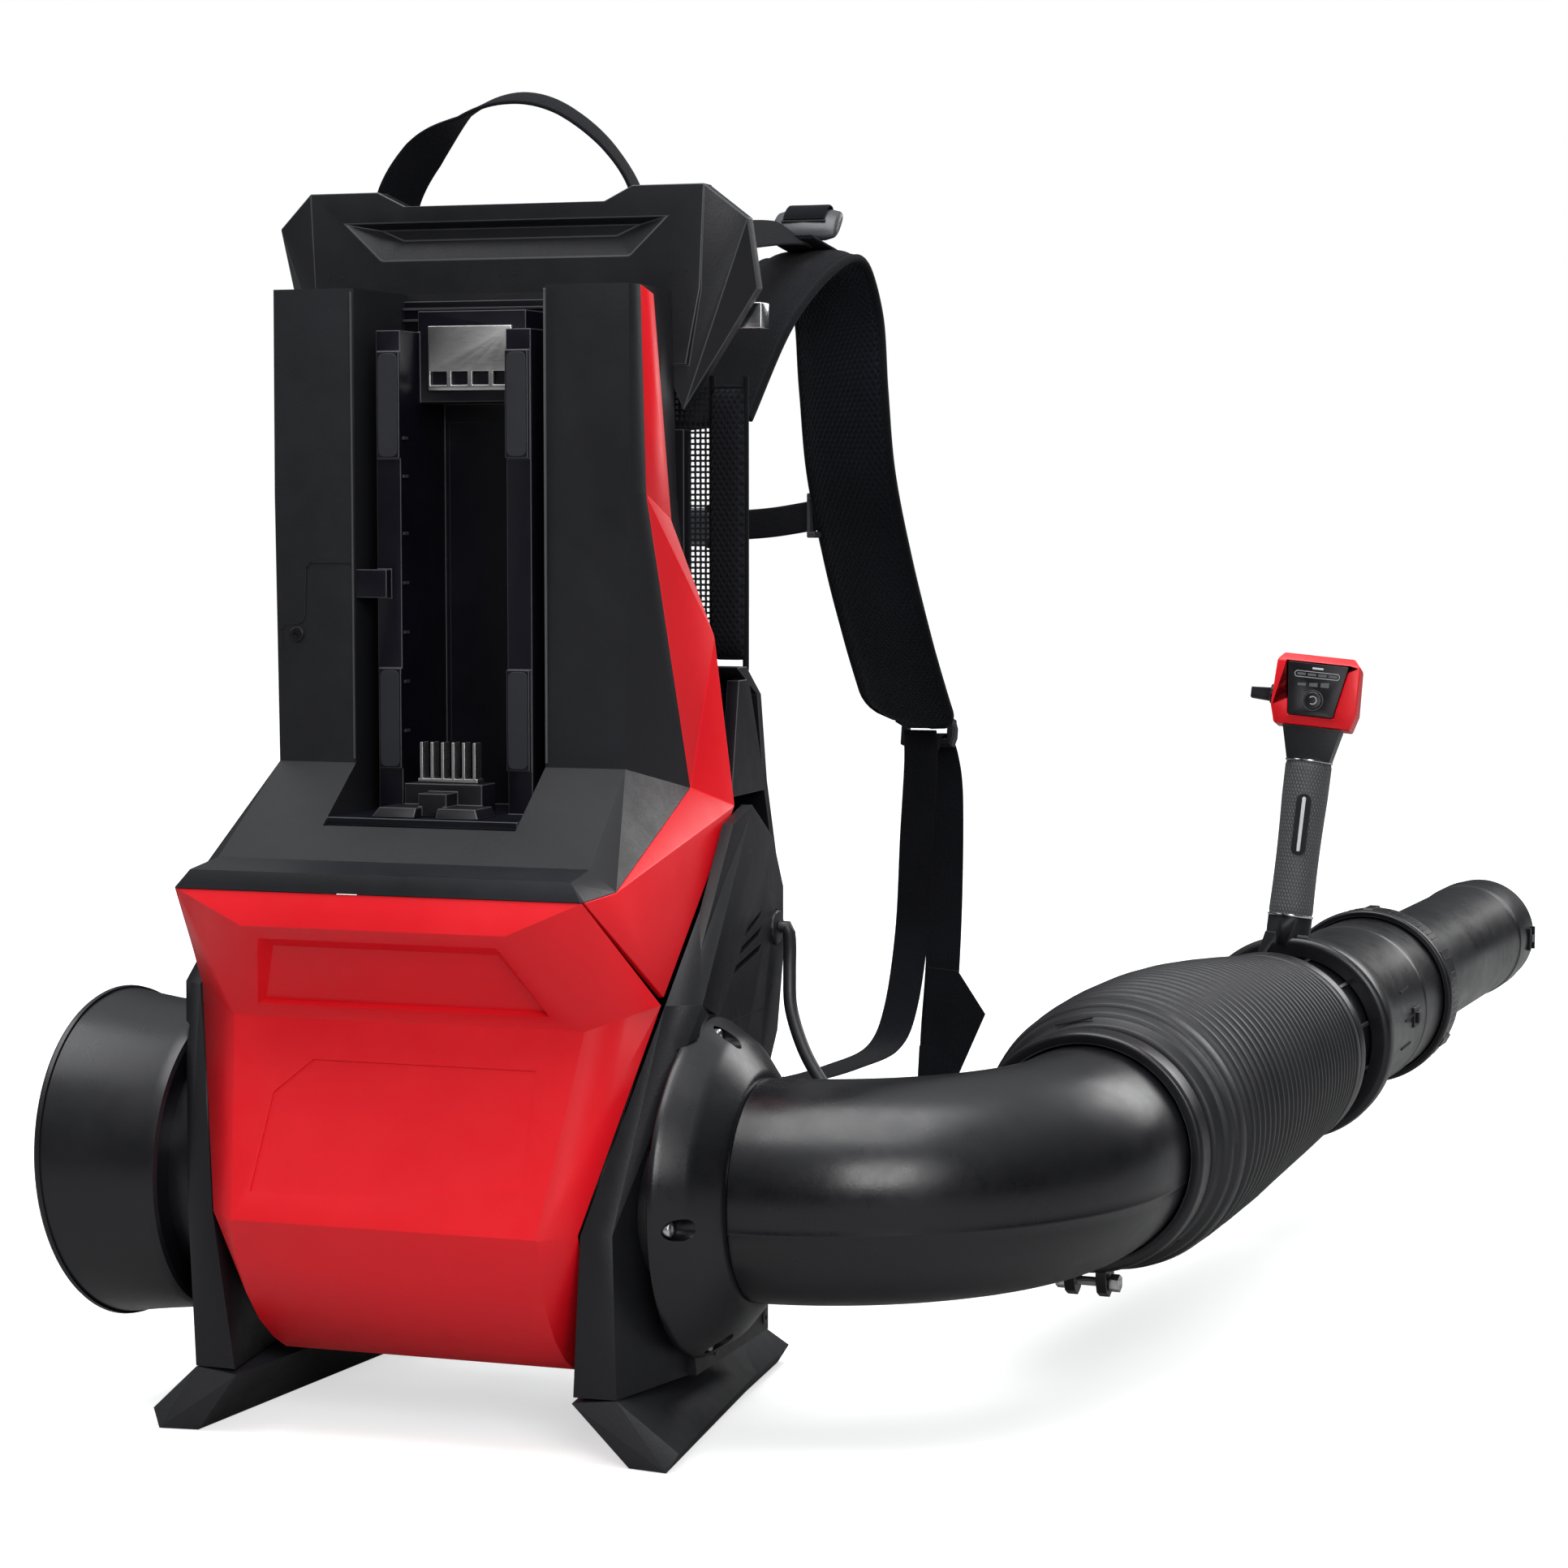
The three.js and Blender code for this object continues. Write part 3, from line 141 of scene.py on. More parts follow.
def plastic(name, color, roughness, grain=0.0009, depth=0.00006, mottle=0.18, **constants):
    """Moulded plastic: fine spark-eroded grain, cloudy colour and gloss, and faint handling scuffs."""
    made, tree, shader = new_material(name, roughness, **constants)
    where = place_of(tree)
    cloud = noise(tree, where, 11, 4)
    patches = noise(tree, where, 70, 6, 0.7)
    fine = noise(tree, where, 1 / grain, 2)
    pits = add(tree, "TexVoronoi", {"Vector": where, "Scale": 0.7 / grain}).outputs["Distance"]
    colour = tint(tree, spread(tree, cloud, 0, 1), shade(color, 1 - mottle), shade(color, 1 + mottle))
    tree.links.new(colour, shader.inputs["Base Color"])
    gloss = math_node(tree, "ADD", spread(tree, cloud, -0.05, 0.05), spread(tree, patches, -0.04, 0.06))
    tree.links.new(math_node(tree, "ADD", gloss, roughness), shader.inputs["Roughness"])
    bump(tree, shader, (patches, depth * 0.6), (fine, depth), (pits, depth * 0.7))
    return made


def metal(name, color, roughness, stretch=(1, 1, 30), **constants):
    """Metal with fine rolling marks along one direction and faint stains."""
    made, tree, shader = new_material(name, roughness, 1.0, **constants)
    where = place_of(tree)
    along = add(tree, "Mapping", {"Vector": where, "Scale": stretch}).outputs[0]
    marks = noise(tree, along, 120, 5, 0.7)
    stains = noise(tree, where, 40, 4)
    colour = tint(tree, spread(tree, stains, 0, 1), shade(color, 0.86), color)
    tree.links.new(colour, shader.inputs["Base Color"])
    rough = math_node(tree, "ADD", spread(tree, marks, -0.05, 0.09), roughness)
    tree.links.new(rough, shader.inputs["Roughness"])
    bump(tree, shader, (marks, 0.00002))
    return made


def wave(tree, u, v, along_u, along_v):
    """0 to 1 stripes from turns per metre along u and v."""
    turn = math_node(tree, "ADD", math_node(tree, "MULTIPLY", u, along_u * 2 * math.pi),
                     math_node(tree, "MULTIPLY", v, along_v * 2 * math.pi))
    return math_node(tree, "MULTIPLY_ADD", math_node(tree, "SINE", turn), 0.5)


def cloth(name, color, pitch, depth, kind="webbing", axes=None, sheen=0.25):
    """Woven or knitted fabric with its pattern in UV metres, or in two object axes."""
    made, tree, shader = new_material(name, 0.85, sheen_weight=sheen, sheen_roughness=0.45,
                                      specular_ior_level=0.08)
    split = add(tree, "SeparateXYZ", {"Vector": place_of(tree, uv=axes is None)})
    u, v = (split.outputs[i] for i in (axes or (0, 1)))
    turns = 1 / pitch
    if kind == "mesh":
        first = wave(tree, u, v, turns, turns * 0.62)
        second = wave(tree, u, v, turns, -turns * 0.62)
        weave = math_node(tree, "MAXIMUM", first, second)
    elif kind == "twill":
        first = wave(tree, u, v, turns, turns)
        second = wave(tree, u, v, turns * 2.1, -turns * 0.4)
        weave = math_node(tree, "MULTIPLY_ADD", second, 0.35)
        weave = math_node(tree, "ADD", weave, first)
    else:
        first = wave(tree, u, v, turns, 0)
        second = wave(tree, u, v, turns * 0.5, turns * 0.8)
        weave = math_node(tree, "MAXIMUM", first, math_node(tree, "MULTIPLY", second, 0.9))
    where = place_of(tree)
    fuzz = noise(tree, where, 2600, 3)
    fade = noise(tree, where, 22, 4)
    lit = math_node(tree, "ADD", spread(tree, weave, -0.1, 0.55, 0.0, 0.5), spread(tree, fade, 0, 0.45))
    colour = tint(tree, lit, shade(color, 0.55), shade(color, 1.7))
    tree.links.new(colour, shader.inputs["Base Color"])
    rough = spread(tree, fuzz, 0.74, 0.95)
    tree.links.new(rough, shader.inputs["Roughness"])
    bump(tree, shader, (fade, 0.0004), (weave, depth), (fuzz, 0.00008))
    return made


RED = (0.76, 0.005, 0.013)
red_shell = plastic("red_shell", RED, 0.42, 0.0008, 0.00003, 0.05, specular_ior_level=0.4)
# A lighter copy of the red for the bevelled edges: a painted highlight where the edges catch the light.
red_edge_highlight = plastic("red_edge_highlight", shade(RED, 1.18), 0.36, 0.0012, 0.00002, 0.05)
charcoal = plastic("charcoal_shell", (0.0105, 0.0108, 0.0135), 0.42, 0.0011, 0.00004, specular_ior_level=0.3)
# A lighter copy of the charcoal for bevelled edges and edge strips: a painted highlight along the edges.
charcoal_edge_highlight = plastic("charcoal_edge_highlight", (0.055, 0.056, 0.06), 0.42, 0.0012, 0.00003)
black = plastic("black_shell", (0.005, 0.005, 0.0075), 0.40, 0.0010, 0.00003, specular_ior_level=0.28)
# A lighter copy of the black: a painted highlight on the black parts' bevelled edges, and the colour of some small grey
# parts.
black_edge_highlight_and_grey_parts = plastic("black_edge_highlight_and_grey_parts", (0.035, 0.035, 0.040), 0.36, 0.0012, 0.00003)
bay_black = plastic("bay_black", (0.003, 0.003, 0.0065), 0.34, 0.0016, 0.00002, 0.3, specular_ior_level=0.25)
guide_grey = plastic("guide_grey", (0.012, 0.0125, 0.018), 0.5, 0.0010, 0.00005)
duct = plastic("duct_plastic", (0.004, 0.0041, 0.0062), 0.31, 0.0014, 0.000015, 0.22, specular_ior_level=0.5)
# A lighter grey for the duct parts' bevelled edges: a painted highlight along the edges.
duct_edge_highlight = plastic("duct_edge_highlight", (0.040, 0.040, 0.045), 0.36, 0.0012, 0.00002)
bellows_rubber = plastic("bellows_rubber", (0.0095, 0.0097, 0.0115), 0.44, 0.0013, 0.00004)
foot_black = plastic("foot_rubber", (0.016, 0.0165, 0.020), 0.6, 0.0013, 0.00012)
buckle_grey = plastic("buckle_plastic", (0.045, 0.047, 0.054), 0.36, 0.0012, 0.00003)
dark_line = plastic("shadow_line", (0.003, 0.003, 0.004), 0.8)
panel_grey = plastic("panel_print", (0.30, 0.31, 0.33), 0.4, 0.0012, 0.00001)
panel_dim = plastic("panel_print_dim", (0.075, 0.078, 0.085), 0.4, 0.0012, 0.00001)
# White for the panel lamp's lens, and for the painted highlight on the grip window.
white_lens_and_highlight = plastic("indicator_lens_and_highlight", (0.62, 0.63, 0.66), 0.25, 0.0012, 0.00001)
steel = metal("steel", (0.66, 0.65, 0.65), 0.30)
bright_steel = metal("bright_steel", (0.80, 0.80, 0.82), 0.16)
copper = metal("copper_windings", (0.75, 0.36, 0.16), 0.35, (30, 1, 1))
board_green = plastic("controller_cast", (0.20, 0.205, 0.21), 0.45)
rubber = plastic("cable_rubber", (0.014, 0.014, 0.016), 0.42, 0.0012, 0.00003)
webbing = cloth("webbing", (0.0042, 0.0044, 0.0062), 0.0013, 0.00022, sheen=0.04)
pad_twill = cloth("pad_twill", (0.0058, 0.006, 0.0078), 0.0012, 0.00018, "twill", sheen=0.04)
pad_mesh = cloth("pad_mesh", (0.0052, 0.006, 0.0090), 0.0036, 0.0011, "mesh", sheen=0.04)
back_pad_mesh = cloth("back_pad_mesh", (0.006, 0.0063, 0.0085), 0.0034, 0.0008, "mesh", (0, 2), 0.04)
binding = cloth("edge_binding", (0.0045, 0.0048, 0.0065), 0.0011, 0.00025, sheen=0.04)
thread = cloth("thread", (0.012, 0.0125, 0.015), 0.0006, 0.00008, "twill", (0, 2), 0.04)
net = cloth("net_yarn", (0.012, 0.0125, 0.015), 0.0009, 0.00006, "twill", (0, 2), 0.04)


def grip_material():
    """Soft overmould with a small rhombic pattern."""
    made, tree, shader = new_material("grip_rubber", 0.5, specular_ior_level=0.4)
    split = add(tree, "SeparateXYZ", {"Vector": place_of(tree, uv=True)})
    u, v = split.outputs[0], split.outputs[1]
    pattern = math_node(tree, "MULTIPLY", wave(tree, u, v, 420, 210), wave(tree, u, v, 420, -210))
    tone = tint(tree, spread(tree, pattern, 0, 1, 0, 1), (0.055, 0.056, 0.060), (0.135, 0.137, 0.142))
    tree.links.new(tone, shader.inputs["Base Color"])
    haze = noise(tree, place_of(tree), 60, 5)
    tree.links.new(spread(tree, haze, 0.42, 0.62), shader.inputs["Roughness"])
    bump(tree, shader, (haze, 0.0001), (pattern, 0.00035))
    return made


grip_rubber = grip_material()


# ---------- mesh helpers ----------
def turned_corner(before, corner, after, radius):
    """Points that round one corner of an outline."""
    a, c, b = Vector(before), Vector(corner), Vector(after)
    back, ahead = a - c, b - c
    if back.length < 1e-6 or ahead.length < 1e-6 or back.angle(ahead) > rad(165):
        return [c]
    reach = min(radius, back.length * 0.45, ahead.length * 0.45)
    p, q = c + back.normalized() * reach, c + ahead.normalized() * reach
    return [p.lerp(c, t).lerp(c.lerp(q, t), t) for t in (0, 0.3, 0.7, 1)]


def rounded(outline, radius):
    """A closed outline with its corners rounded."""
    count = len(outline)
    out = []
    for i, corner in enumerate(outline):
        out += turned_corner(outline[i - 1], corner, outline[(i + 1) % count], radius)
    return out


def grid_faces(rows, columns, closed_rows=True, closed_columns=True):
    """Quads between the points of a grid that is stored row by row."""
    faces = []
    for i in range(rows if closed_rows else rows - 1):
        for k in range(columns if closed_columns else columns - 1):
            a, b = i * columns, ((i + 1) % rows) * columns
            n = (k + 1) % columns
            faces.append((a + k, b + k, b + n, a + n))
    return faces


def lathe(profile, segments=96, radius=0.8, oval=(1.0, 1.0), centre=(0.0, 0.0), uvs=False):
    """A closed ring round +Y from [radius, station] corners."""
    outline = rounded(profile, radius) if radius else [Vector(p) for p in profile]
    count = len(outline)
    verts = []
    for k in range(segments):
        a = 2 * math.pi * k / segments
        verts += [(centre[0] + r * oval[0] * math.cos(a), s, centre[1] + r * oval[1] * math.sin(a))
                  for r, s in outline]
    faces = grid_faces(segments, count)
    if not uvs:
        return verts, faces, None
    girth = 2 * math.pi * max(r for r, _ in outline) * max(oval) * MM
    corner_uvs = []
    for i in range(segments):
        for k in range(count):
            low, high = outline[k][1] * MM, outline[(k + 1) % count][1] * MM
            left, right = girth * i / segments, girth * (i + 1) / segments
            corner_uvs.append(((left, low), (right, low), (right, high), (left, high)))
    return verts, faces, corner_uvs


def upright(part):
    """The same part with its axis on +Z instead of +Y."""
    verts, faces, uvs = part
    return [(x, -z, y) for x, y, z in verts], faces, uvs


def moved(part, matrix):
    verts, faces, uvs = part
    return [tuple(matrix @ Vector(v)) for v in verts], faces, uvs


def box(low, high):
    (x0, y0, z0), (x1, y1, z1) = low, high
    verts = [(x, y, z) for z in (z0, z1) for y in (y0, y1) for x in (x0, x1)]
    faces = [(0, 2, 3, 1), (4, 5, 7, 6), (0, 1, 5, 4), (2, 6, 7, 3), (0, 4, 6, 2), (1, 3, 7, 5)]
    return verts, faces, None


def hull(points):
    work = bmesh.new()
    for p in points:
        work.verts.new(p)
    bmesh.ops.convex_hull(work, input=work.verts)
    bmesh.ops.delete(work, geom=[v for v in work.verts if not v.link_faces], context="VERTS")
    bmesh.ops.dissolve_limit(work, angle_limit=rad(1), verts=work.verts, edges=work.edges)
    work.verts.index_update()
    part = [tuple(v.co) for v in work.verts], [tuple(v.index for v in f.verts) for f in work.faces], None
    work.free()
    return part


def planar(part):
    """The same part with its UVs taken straight from x and z."""
    verts, faces, _ = part
    return verts, faces, [tuple((verts[k][0] * MM, verts[k][2] * MM) for k in face) for face in faces]


def smooth_path(points, steps):
    """Evenly spaced points on a smooth curve through a few points."""
    corners = [Vector(p) for p in points]
    corners = [corners[0] * 2 - corners[1], *corners, corners[-1] * 2 - corners[-2]]
    dense = []
    for p0, p1, p2, p3 in zip(corners, corners[1:], corners[2:], corners[3:]):
        for k in range(24):
            t = k / 24
            dense.append(0.5 * (2 * p1 + (p2 - p0) * t + (2 * p0 - 5 * p1 + 4 * p2 - p3) * t ** 2
                                + (3 * p1 - p0 - 3 * p2 + p3) * t ** 3))
    dense.append(corners[-2])
    reach = [0.0]
    for a, b in zip(dense, dense[1:]):
        reach.append(reach[-1] + (b - a).length)
    out, k = [], 0
    for i in range(steps + 1):
        goal = reach[-1] * i / steps
        while k < len(reach) - 2 and reach[k + 1] < goal:
            k += 1
        gap = reach[k + 1] - reach[k]
        out.append(dense[k].lerp(dense[k + 1], (goal - reach[k]) / gap if gap else 0))
    return out


def path_length(points):
    return sum((b - a).length for a, b in zip(points, points[1:]))


def frames_along(points, across):
    """(centre, sideways, outwards) at each point; across is one direction or several along the way."""
    ways = [Vector(a) for a in (across if isinstance(across[0], (tuple, list)) else (across,))]
    last = len(points) - 1
    out = []
    for i, p in enumerate(points):
        along = (points[min(i + 1, last)] - points[max(i - 1, 0)]).normalized()
        spot = (len(ways) - 1) * i / last
        low = min(int(spot), len(ways) - 1)
        way = ways[low].lerp(ways[min(low + 1, len(ways) - 1)], spot - low)
        side = (way - along * way.dot(along)).normalized()
        out.append((p, side, side.cross(along).normalized()))
    return out


def ribbon(points, section, across, narrow=None):
    """A closed section of (u, t) points carried along a path, capped, with UVs in metres."""
    stations = frames_along(points, across)
    count = len(section)
    verts = []
    for i, (centre, side, out) in enumerate(stations):
        wide, thick = narrow(i / (len(stations) - 1)) if narrow else (1.0, 1.0)
        verts += [tuple(centre + side * (u * wide) + out * (t * thick)) for u, t in section]
    faces = grid_faces(len(stations), count, closed_rows=False)
    girth = [0.0]
    for a, b in zip(section, [*section[1:], section[0]]):
        girth.append(girth[-1] + math.dist(a, b) * MM)
    reach = [0.0]
    for a, b in zip(points, points[1:]):
        reach.append(reach[-1] + (b - a).length * MM)
    uvs = []
    for i in range(len(stations) - 1):
        for k in range(count):
            uvs.append(((girth[k], reach[i]), (girth[k], reach[i + 1]),
                        (girth[k + 1], reach[i + 1]), (girth[k + 1], reach[i])))
    for row in (0, len(stations) - 1):
        faces.append(tuple(row * count + k for k in range(count)))
        uvs.append(tuple((u * MM, t * MM) for u, t in section))
    return verts, faces, uvs


def strap_section(width, thickness):
    """A webbing section with soft edges."""
    half, t = width / 2, thickness / 2
    top = [(-half, 0.15 * t), (-half + 0.5, 0.8 * t), (-half + 1.6, t), (0, t * 0.92),
           (half - 1.6, t), (half - 0.5, 0.8 * t), (half, 0.15 * t)]
    return top + [(u, -v) for u, v in reversed(top)]


def round_section(radius, count=12):
    return [(radius * math.cos(2 * math.pi * k / count), radius * math.sin(2 * math.pi * k / count))
            for k in range(count)]


def stitches(points, across, offset, lift, length=2.6, gap=1.6, width=0.7):
    """A row of thread dashes along a path, offset sideways and lifted off its surface."""
    total = path_length(points)
    count = max(2, int(total / (length + gap)))
    places = frames_along(points, across)
    parts = []
    for i in range(count):
        spot = (i + 0.5) / count * (len(places) - 1)
        low = min(int(spot), len(places) - 2)
        centre, side, out = places[low]
        following = places[low + 1][0]
        along = (following - centre).normalized()
        middle = centre.lerp(following, spot - low) + side * offset + out * lift
        corners = [middle + along * (a * length / 2) + side * (b * width / 2) + out * c
                   for a, b, c in ((-1, 0, -0.3), (1, 0, -0.3), (-0.7, 1, 0), (0.7, 1, 0),
                                   (-0.7, -1, 0), (0.7, -1, 0), (-0.6, 0, 0.35), (0.6, 0, 0.35))]
        parts.append(([tuple(c) for c in corners],
                      [(0, 2, 6), (0, 6, 4), (1, 7, 3), (1, 5, 7), (2, 3, 7, 6), (4, 6, 7, 5),
                       (0, 1, 3, 2), (0, 4, 5, 1)], None))
    return parts


def build(name, parts, finish, body="chassis", frame_matrix=CHASSIS, replaced=(),
          crease=34, bevel=0.0, edge=None, segments=2):
    """One object from mesh parts, in the row's frame, riding on its body."""
    work = bmesh.new()
    layer = work.loops.layers.uv.new("UVMap")
    for verts, faces, uvs in (parts if isinstance(parts, list) else [parts]):
        made = [work.verts.new(frame_matrix @ Vector(v)) for v in verts]
        for i, face in enumerate(faces):
            try:
                new = work.faces.new([made[k] for k in face])
            except ValueError:
                continue
            if uvs:
                for loop, uv in zip(new.loops, uvs[i]):
                    loop[layer].uv = uv
    bmesh.ops.remove_doubles(work, verts=work.verts, dist=2e-6)
    bmesh.ops.recalc_face_normals(work, faces=work.faces)
    mesh = bpy.data.meshes.new(name)
    work.to_mesh(mesh)
    work.free()
    mesh.materials.append(finish)
    if edge:
        mesh.materials.append(edge)
    mesh.shade_smooth()
    mesh.set_sharp_from_angle(angle=rad(crease))
    obj = bpy.data.objects.new(name, mesh)
    bpy.context.scene.collection.objects.link(obj)
    if bevel:
        soften(obj, bevel, bool(edge), segments)
    if body:
        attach(obj, body)
    if replaced:
        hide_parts(*replaced)
    return obj


def soften(obj, width, painted_edge_highlight=False, segments=2, angle=24):
    """Rounds an object's edges by a bevel modifier."""
    mod = obj.modifiers.new("edges", "BEVEL")
    mod.width = width * MM
    mod.segments = segments
    mod.limit_method = "ANGLE"
    mod.angle_limit = rad(angle)
    mod.harden_normals = True
    mod.use_clamp_overlap = True
    # The bevel faces take the second, lighter material: a painted highlight along the edges.
    if painted_edge_highlight:
        mod.material = 1


def dress(names, finish, width=0.0, edge=None, angle=24):
    """Gives CAD nodes their finish, welded facets and softened edges; with an edge finish, the bevels take a lighter
    colour as a painted highlight.
    """
    for name in names.split():
        node = CAD[name]
        node.data.materials.clear()
        node.data.materials.append(finish)
        if edge:
            node.data.materials.append(edge)
        node.data.shade_smooth()
        weld = node.modifiers.new("weld", "WELD")
        weld.merge_threshold = 5e-6
        flat = node.modifiers.new("flats", "DECIMATE")
        flat.decimate_type = "DISSOLVE"
        flat.angle_limit = rad(0.6)
        if width:
            soften(node, width, bool(edge), 3 if width > 0.9 else 2, angle)


def carve(obj, cutters):
    """Cuts closed pieces out of an object, and leaves plain mesh."""
    for cutter in cutters:
        mod = obj.modifiers.new("cut", "BOOLEAN")
        mod.object = cutter
        mod.solver = "EXACT"
    graph = bpy.context.evaluated_depsgraph_get()
    mesh = bpy.data.meshes.new_from_object(obj.evaluated_get(graph))
    obj.modifiers.clear()
    obj.data = mesh
    mesh.set_sharp_from_angle(angle=rad(34))
    for cutter in cutters:
        bpy.data.objects.remove(cutter)


# ---------- control cable ----------
CABLE_RADIUS = 3.6
CABLE_ROUTE = [(140.2, 36, 256), (144.6, 36.1, 255.6), (145.5, 37, 245), (146, 35, 232),
               (149, 29, 212), (160, 20, 190), (174, 14, 172), (188, 11, 156), (199, 6, 143),
               (203.6, 0, 139), (206.9, -6.2, 138)]


def control_cable():
    points = [CHASSIS @ p for p in smooth_path(CABLE_ROUTE, 40)]
    data = bpy.data.curves.new("control_cable_sheath", "CURVE")
    data.dimensions = "3D"
    data.bevel_depth = CABLE_RADIUS * MM
    data.bevel_resolution = 5
    data.use_fill_caps = True
    line = data.splines.new("POLY")
    line.points.add(len(points) - 1)
    for point, target in zip(line.points, points):
        point.co = (*target, 1)
        point.radius = 1.0
    line.use_smooth = True
    data.materials.append(rubber)
    obj = bpy.data.objects.new("control_cable_sheath", data)
    bpy.context.scene.collection.objects.link(obj)
    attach(obj, "chassis")
    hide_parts("control_cable")


control_cable()

# ---------- finishes of the CAD pieces ----------
dress("tower_shell", charcoal, 1.3, charcoal_edge_highlight)
dress("side_cover_right side_cover_left", charcoal, 1.0, charcoal_edge_highlight)
dress("front_cover", red_shell, 1.6, red_edge_highlight)
dress("side_panel_right side_panel_left", red_shell, 0.5, red_edge_highlight, 10)
dress("back_plate", charcoal, 1.4, charcoal_edge_highlight)
dress("rear_frame", black, 1.2, black_edge_highlight_and_grey_parts)
dress("bay_liner", bay_black, 0.7, black_edge_highlight_and_grey_parts)
dress("strike_plate", steel, 0.5)
dress("terminal_block", black, 0.6, black_edge_highlight_and_grey_parts)
dress("terminal_contacts", steel, 0.3)
dress("controller", board_green, 0.5)
dress("inlet_guard", black, 0.5)
dress("fan_duct", duct, 0.4)
dress("fan_rotor stator_vanes", black, 0.4)
dress("motor_case motor_rotor motor_bearing_front motor_bearing_rear clamp_bolt", steel, 0.3)
dress("motor_stator", copper, 0.3)
dress("handle_stem", charcoal, 0.9, charcoal_edge_highlight, 30)
dress("control_head", red_shell, 2.2, red_edge_highlight)
dress("head_panel", black, 0.7, black_edge_highlight_and_grey_parts)
dress("power_button", black, 0.7, black_edge_highlight_and_grey_parts)
dress("cruise_lever trigger", black, 0.9, black_edge_highlight_and_grey_parts)
dress("foot_right foot_left", foot_black, 1.3, black_edge_highlight_and_grey_parts, 14)
dress("hook_clip", bright_steel, 0.6)
dress("cable_gland", rubber, 1.2)


# ---------- fan line ----------
def inlet_bell():
    """The flared inlet, cut off at a slight slant, with a rolled lip."""
    normal = Vector((0.99376, -0.08716, 0.06949))
    segments, rows = 112, 18
    verts = []

    def flare(x):
        return 80.5 + 11 * max(0.0, (-118 - x) / 96) ** 1.7

    for k in range(segments):
        a = 2 * math.pi * k / segments
        dy, dz = math.cos(a), math.sin(a)
        rim = -196.8 - (normal.y * dy + normal.z * dz) * 88 / normal.x
        stations = [-142.6 + (rim + 142.6) * i / rows for i in range(rows + 1)]
        outer = [(66.5, -118), (66.5, -138.6), (79, -138.6), (80.9, -140)]
        outer += [(flare(x), x) for x in stations[:-1]]
        inner = [(flare(x) - 3, x) for x in reversed(stations[:-1])]
        inner += [(76, -140.5), (63, -139.6), (63, -118)]
        edge = flare(rim)
        lip = [(edge + 0.7, rim + 3.2), (edge + 1.1, rim + 1.2), (edge + 0.3, rim), (edge - 1.6, rim - 0.3),
               (edge - 3.4, rim + 0.5), (edge - 3.6, rim + 2.0)]
        verts += [(r * -dy, x, r * dz) for r, x in outer + lip + inner]
    faces = grid_faces(segments, len(verts) // segments)
    build("inlet_bell_shell", (verts, faces, None), duct, frame_matrix=FAN,
          replaced=["inlet_bell"])


def outlet_flange():
    """The domed flange that carries the elbow, with deep screw recesses round it."""
    profile = [(66.5, 138.3), (88.2, 138.3), (88.2, 141), (86.5, 144), (78, 157), (66, 166.5), (61, 170),
               (55, 170), (63, 112.3), (66.5, 112.3)]
    flange = build("outlet_flange_shell", lathe(profile, 128, 2.6), duct, frame_matrix=FAN,
                   replaced=["outlet_flange"], bevel=0)
    cutters = []
    screws = []
    for degrees in (95, 185, 255, 5):
        y, z = 80 * math.cos(rad(degrees)), 80 * math.sin(rad(degrees))
        well = lathe([(0, 145), (5.6, 145), (5.6, 175), (0, 175)], 40, 0)
        shift = Matrix.Translation((-y, 0, z))
        cutters.append(build("well", moved(well, shift), dark_line, body=None, frame_matrix=FAN))
        screws.append(moved(lathe([(0, 145.2), (4.2, 145.2), (4.2, 148.4), (3.4, 149), (1.8, 149),
                                   (1.8, 147.4), (0, 147.4)], 32, 0.3), shift))
    carve(flange, cutters)
    soften(flange, 0.5, angle=40)
    build("flange_screws", screws, steel, frame_matrix=FAN)


BEND_RADIUS = 128
BEND_START = Vector((170.3, -78, 133))
BEND_END = Vector((306, 75, 136.5))


def elbow_stations(steps=56):
    """(centre, sideways) along the elbow: a short lead, the bend, and a short tail."""
    turn = math.pi / 2 - rad(3.1)
    heading = Vector((math.sin(rad(3.1)), math.cos(rad(3.1)), 0))
    bend = Vector((BEND_RADIUS * math.sin(turn), BEND_RADIUS * (1 - math.cos(turn)), 0))
    tail = (BEND_END.y - BEND_START.y - bend.y) / heading.y
    lead = BEND_END.x - BEND_START.x - bend.x - tail * heading.x
    out = [(BEND_START.copy(), Vector((0, -1, 0)))]
    for i in range(steps + 1):
        a = turn * i / steps
        centre = BEND_START + Vector((lead + BEND_RADIUS * math.sin(a), BEND_RADIUS * (1 - math.cos(a)), 0))
        centre.z += 3.5 * i / steps
        out.append((centre, Vector((math.sin(a), -math.cos(a), 0))))
    end = out[-1][0] + heading * tail
    out.append((end, Vector((heading.y, -heading.x, 0))))
    return out


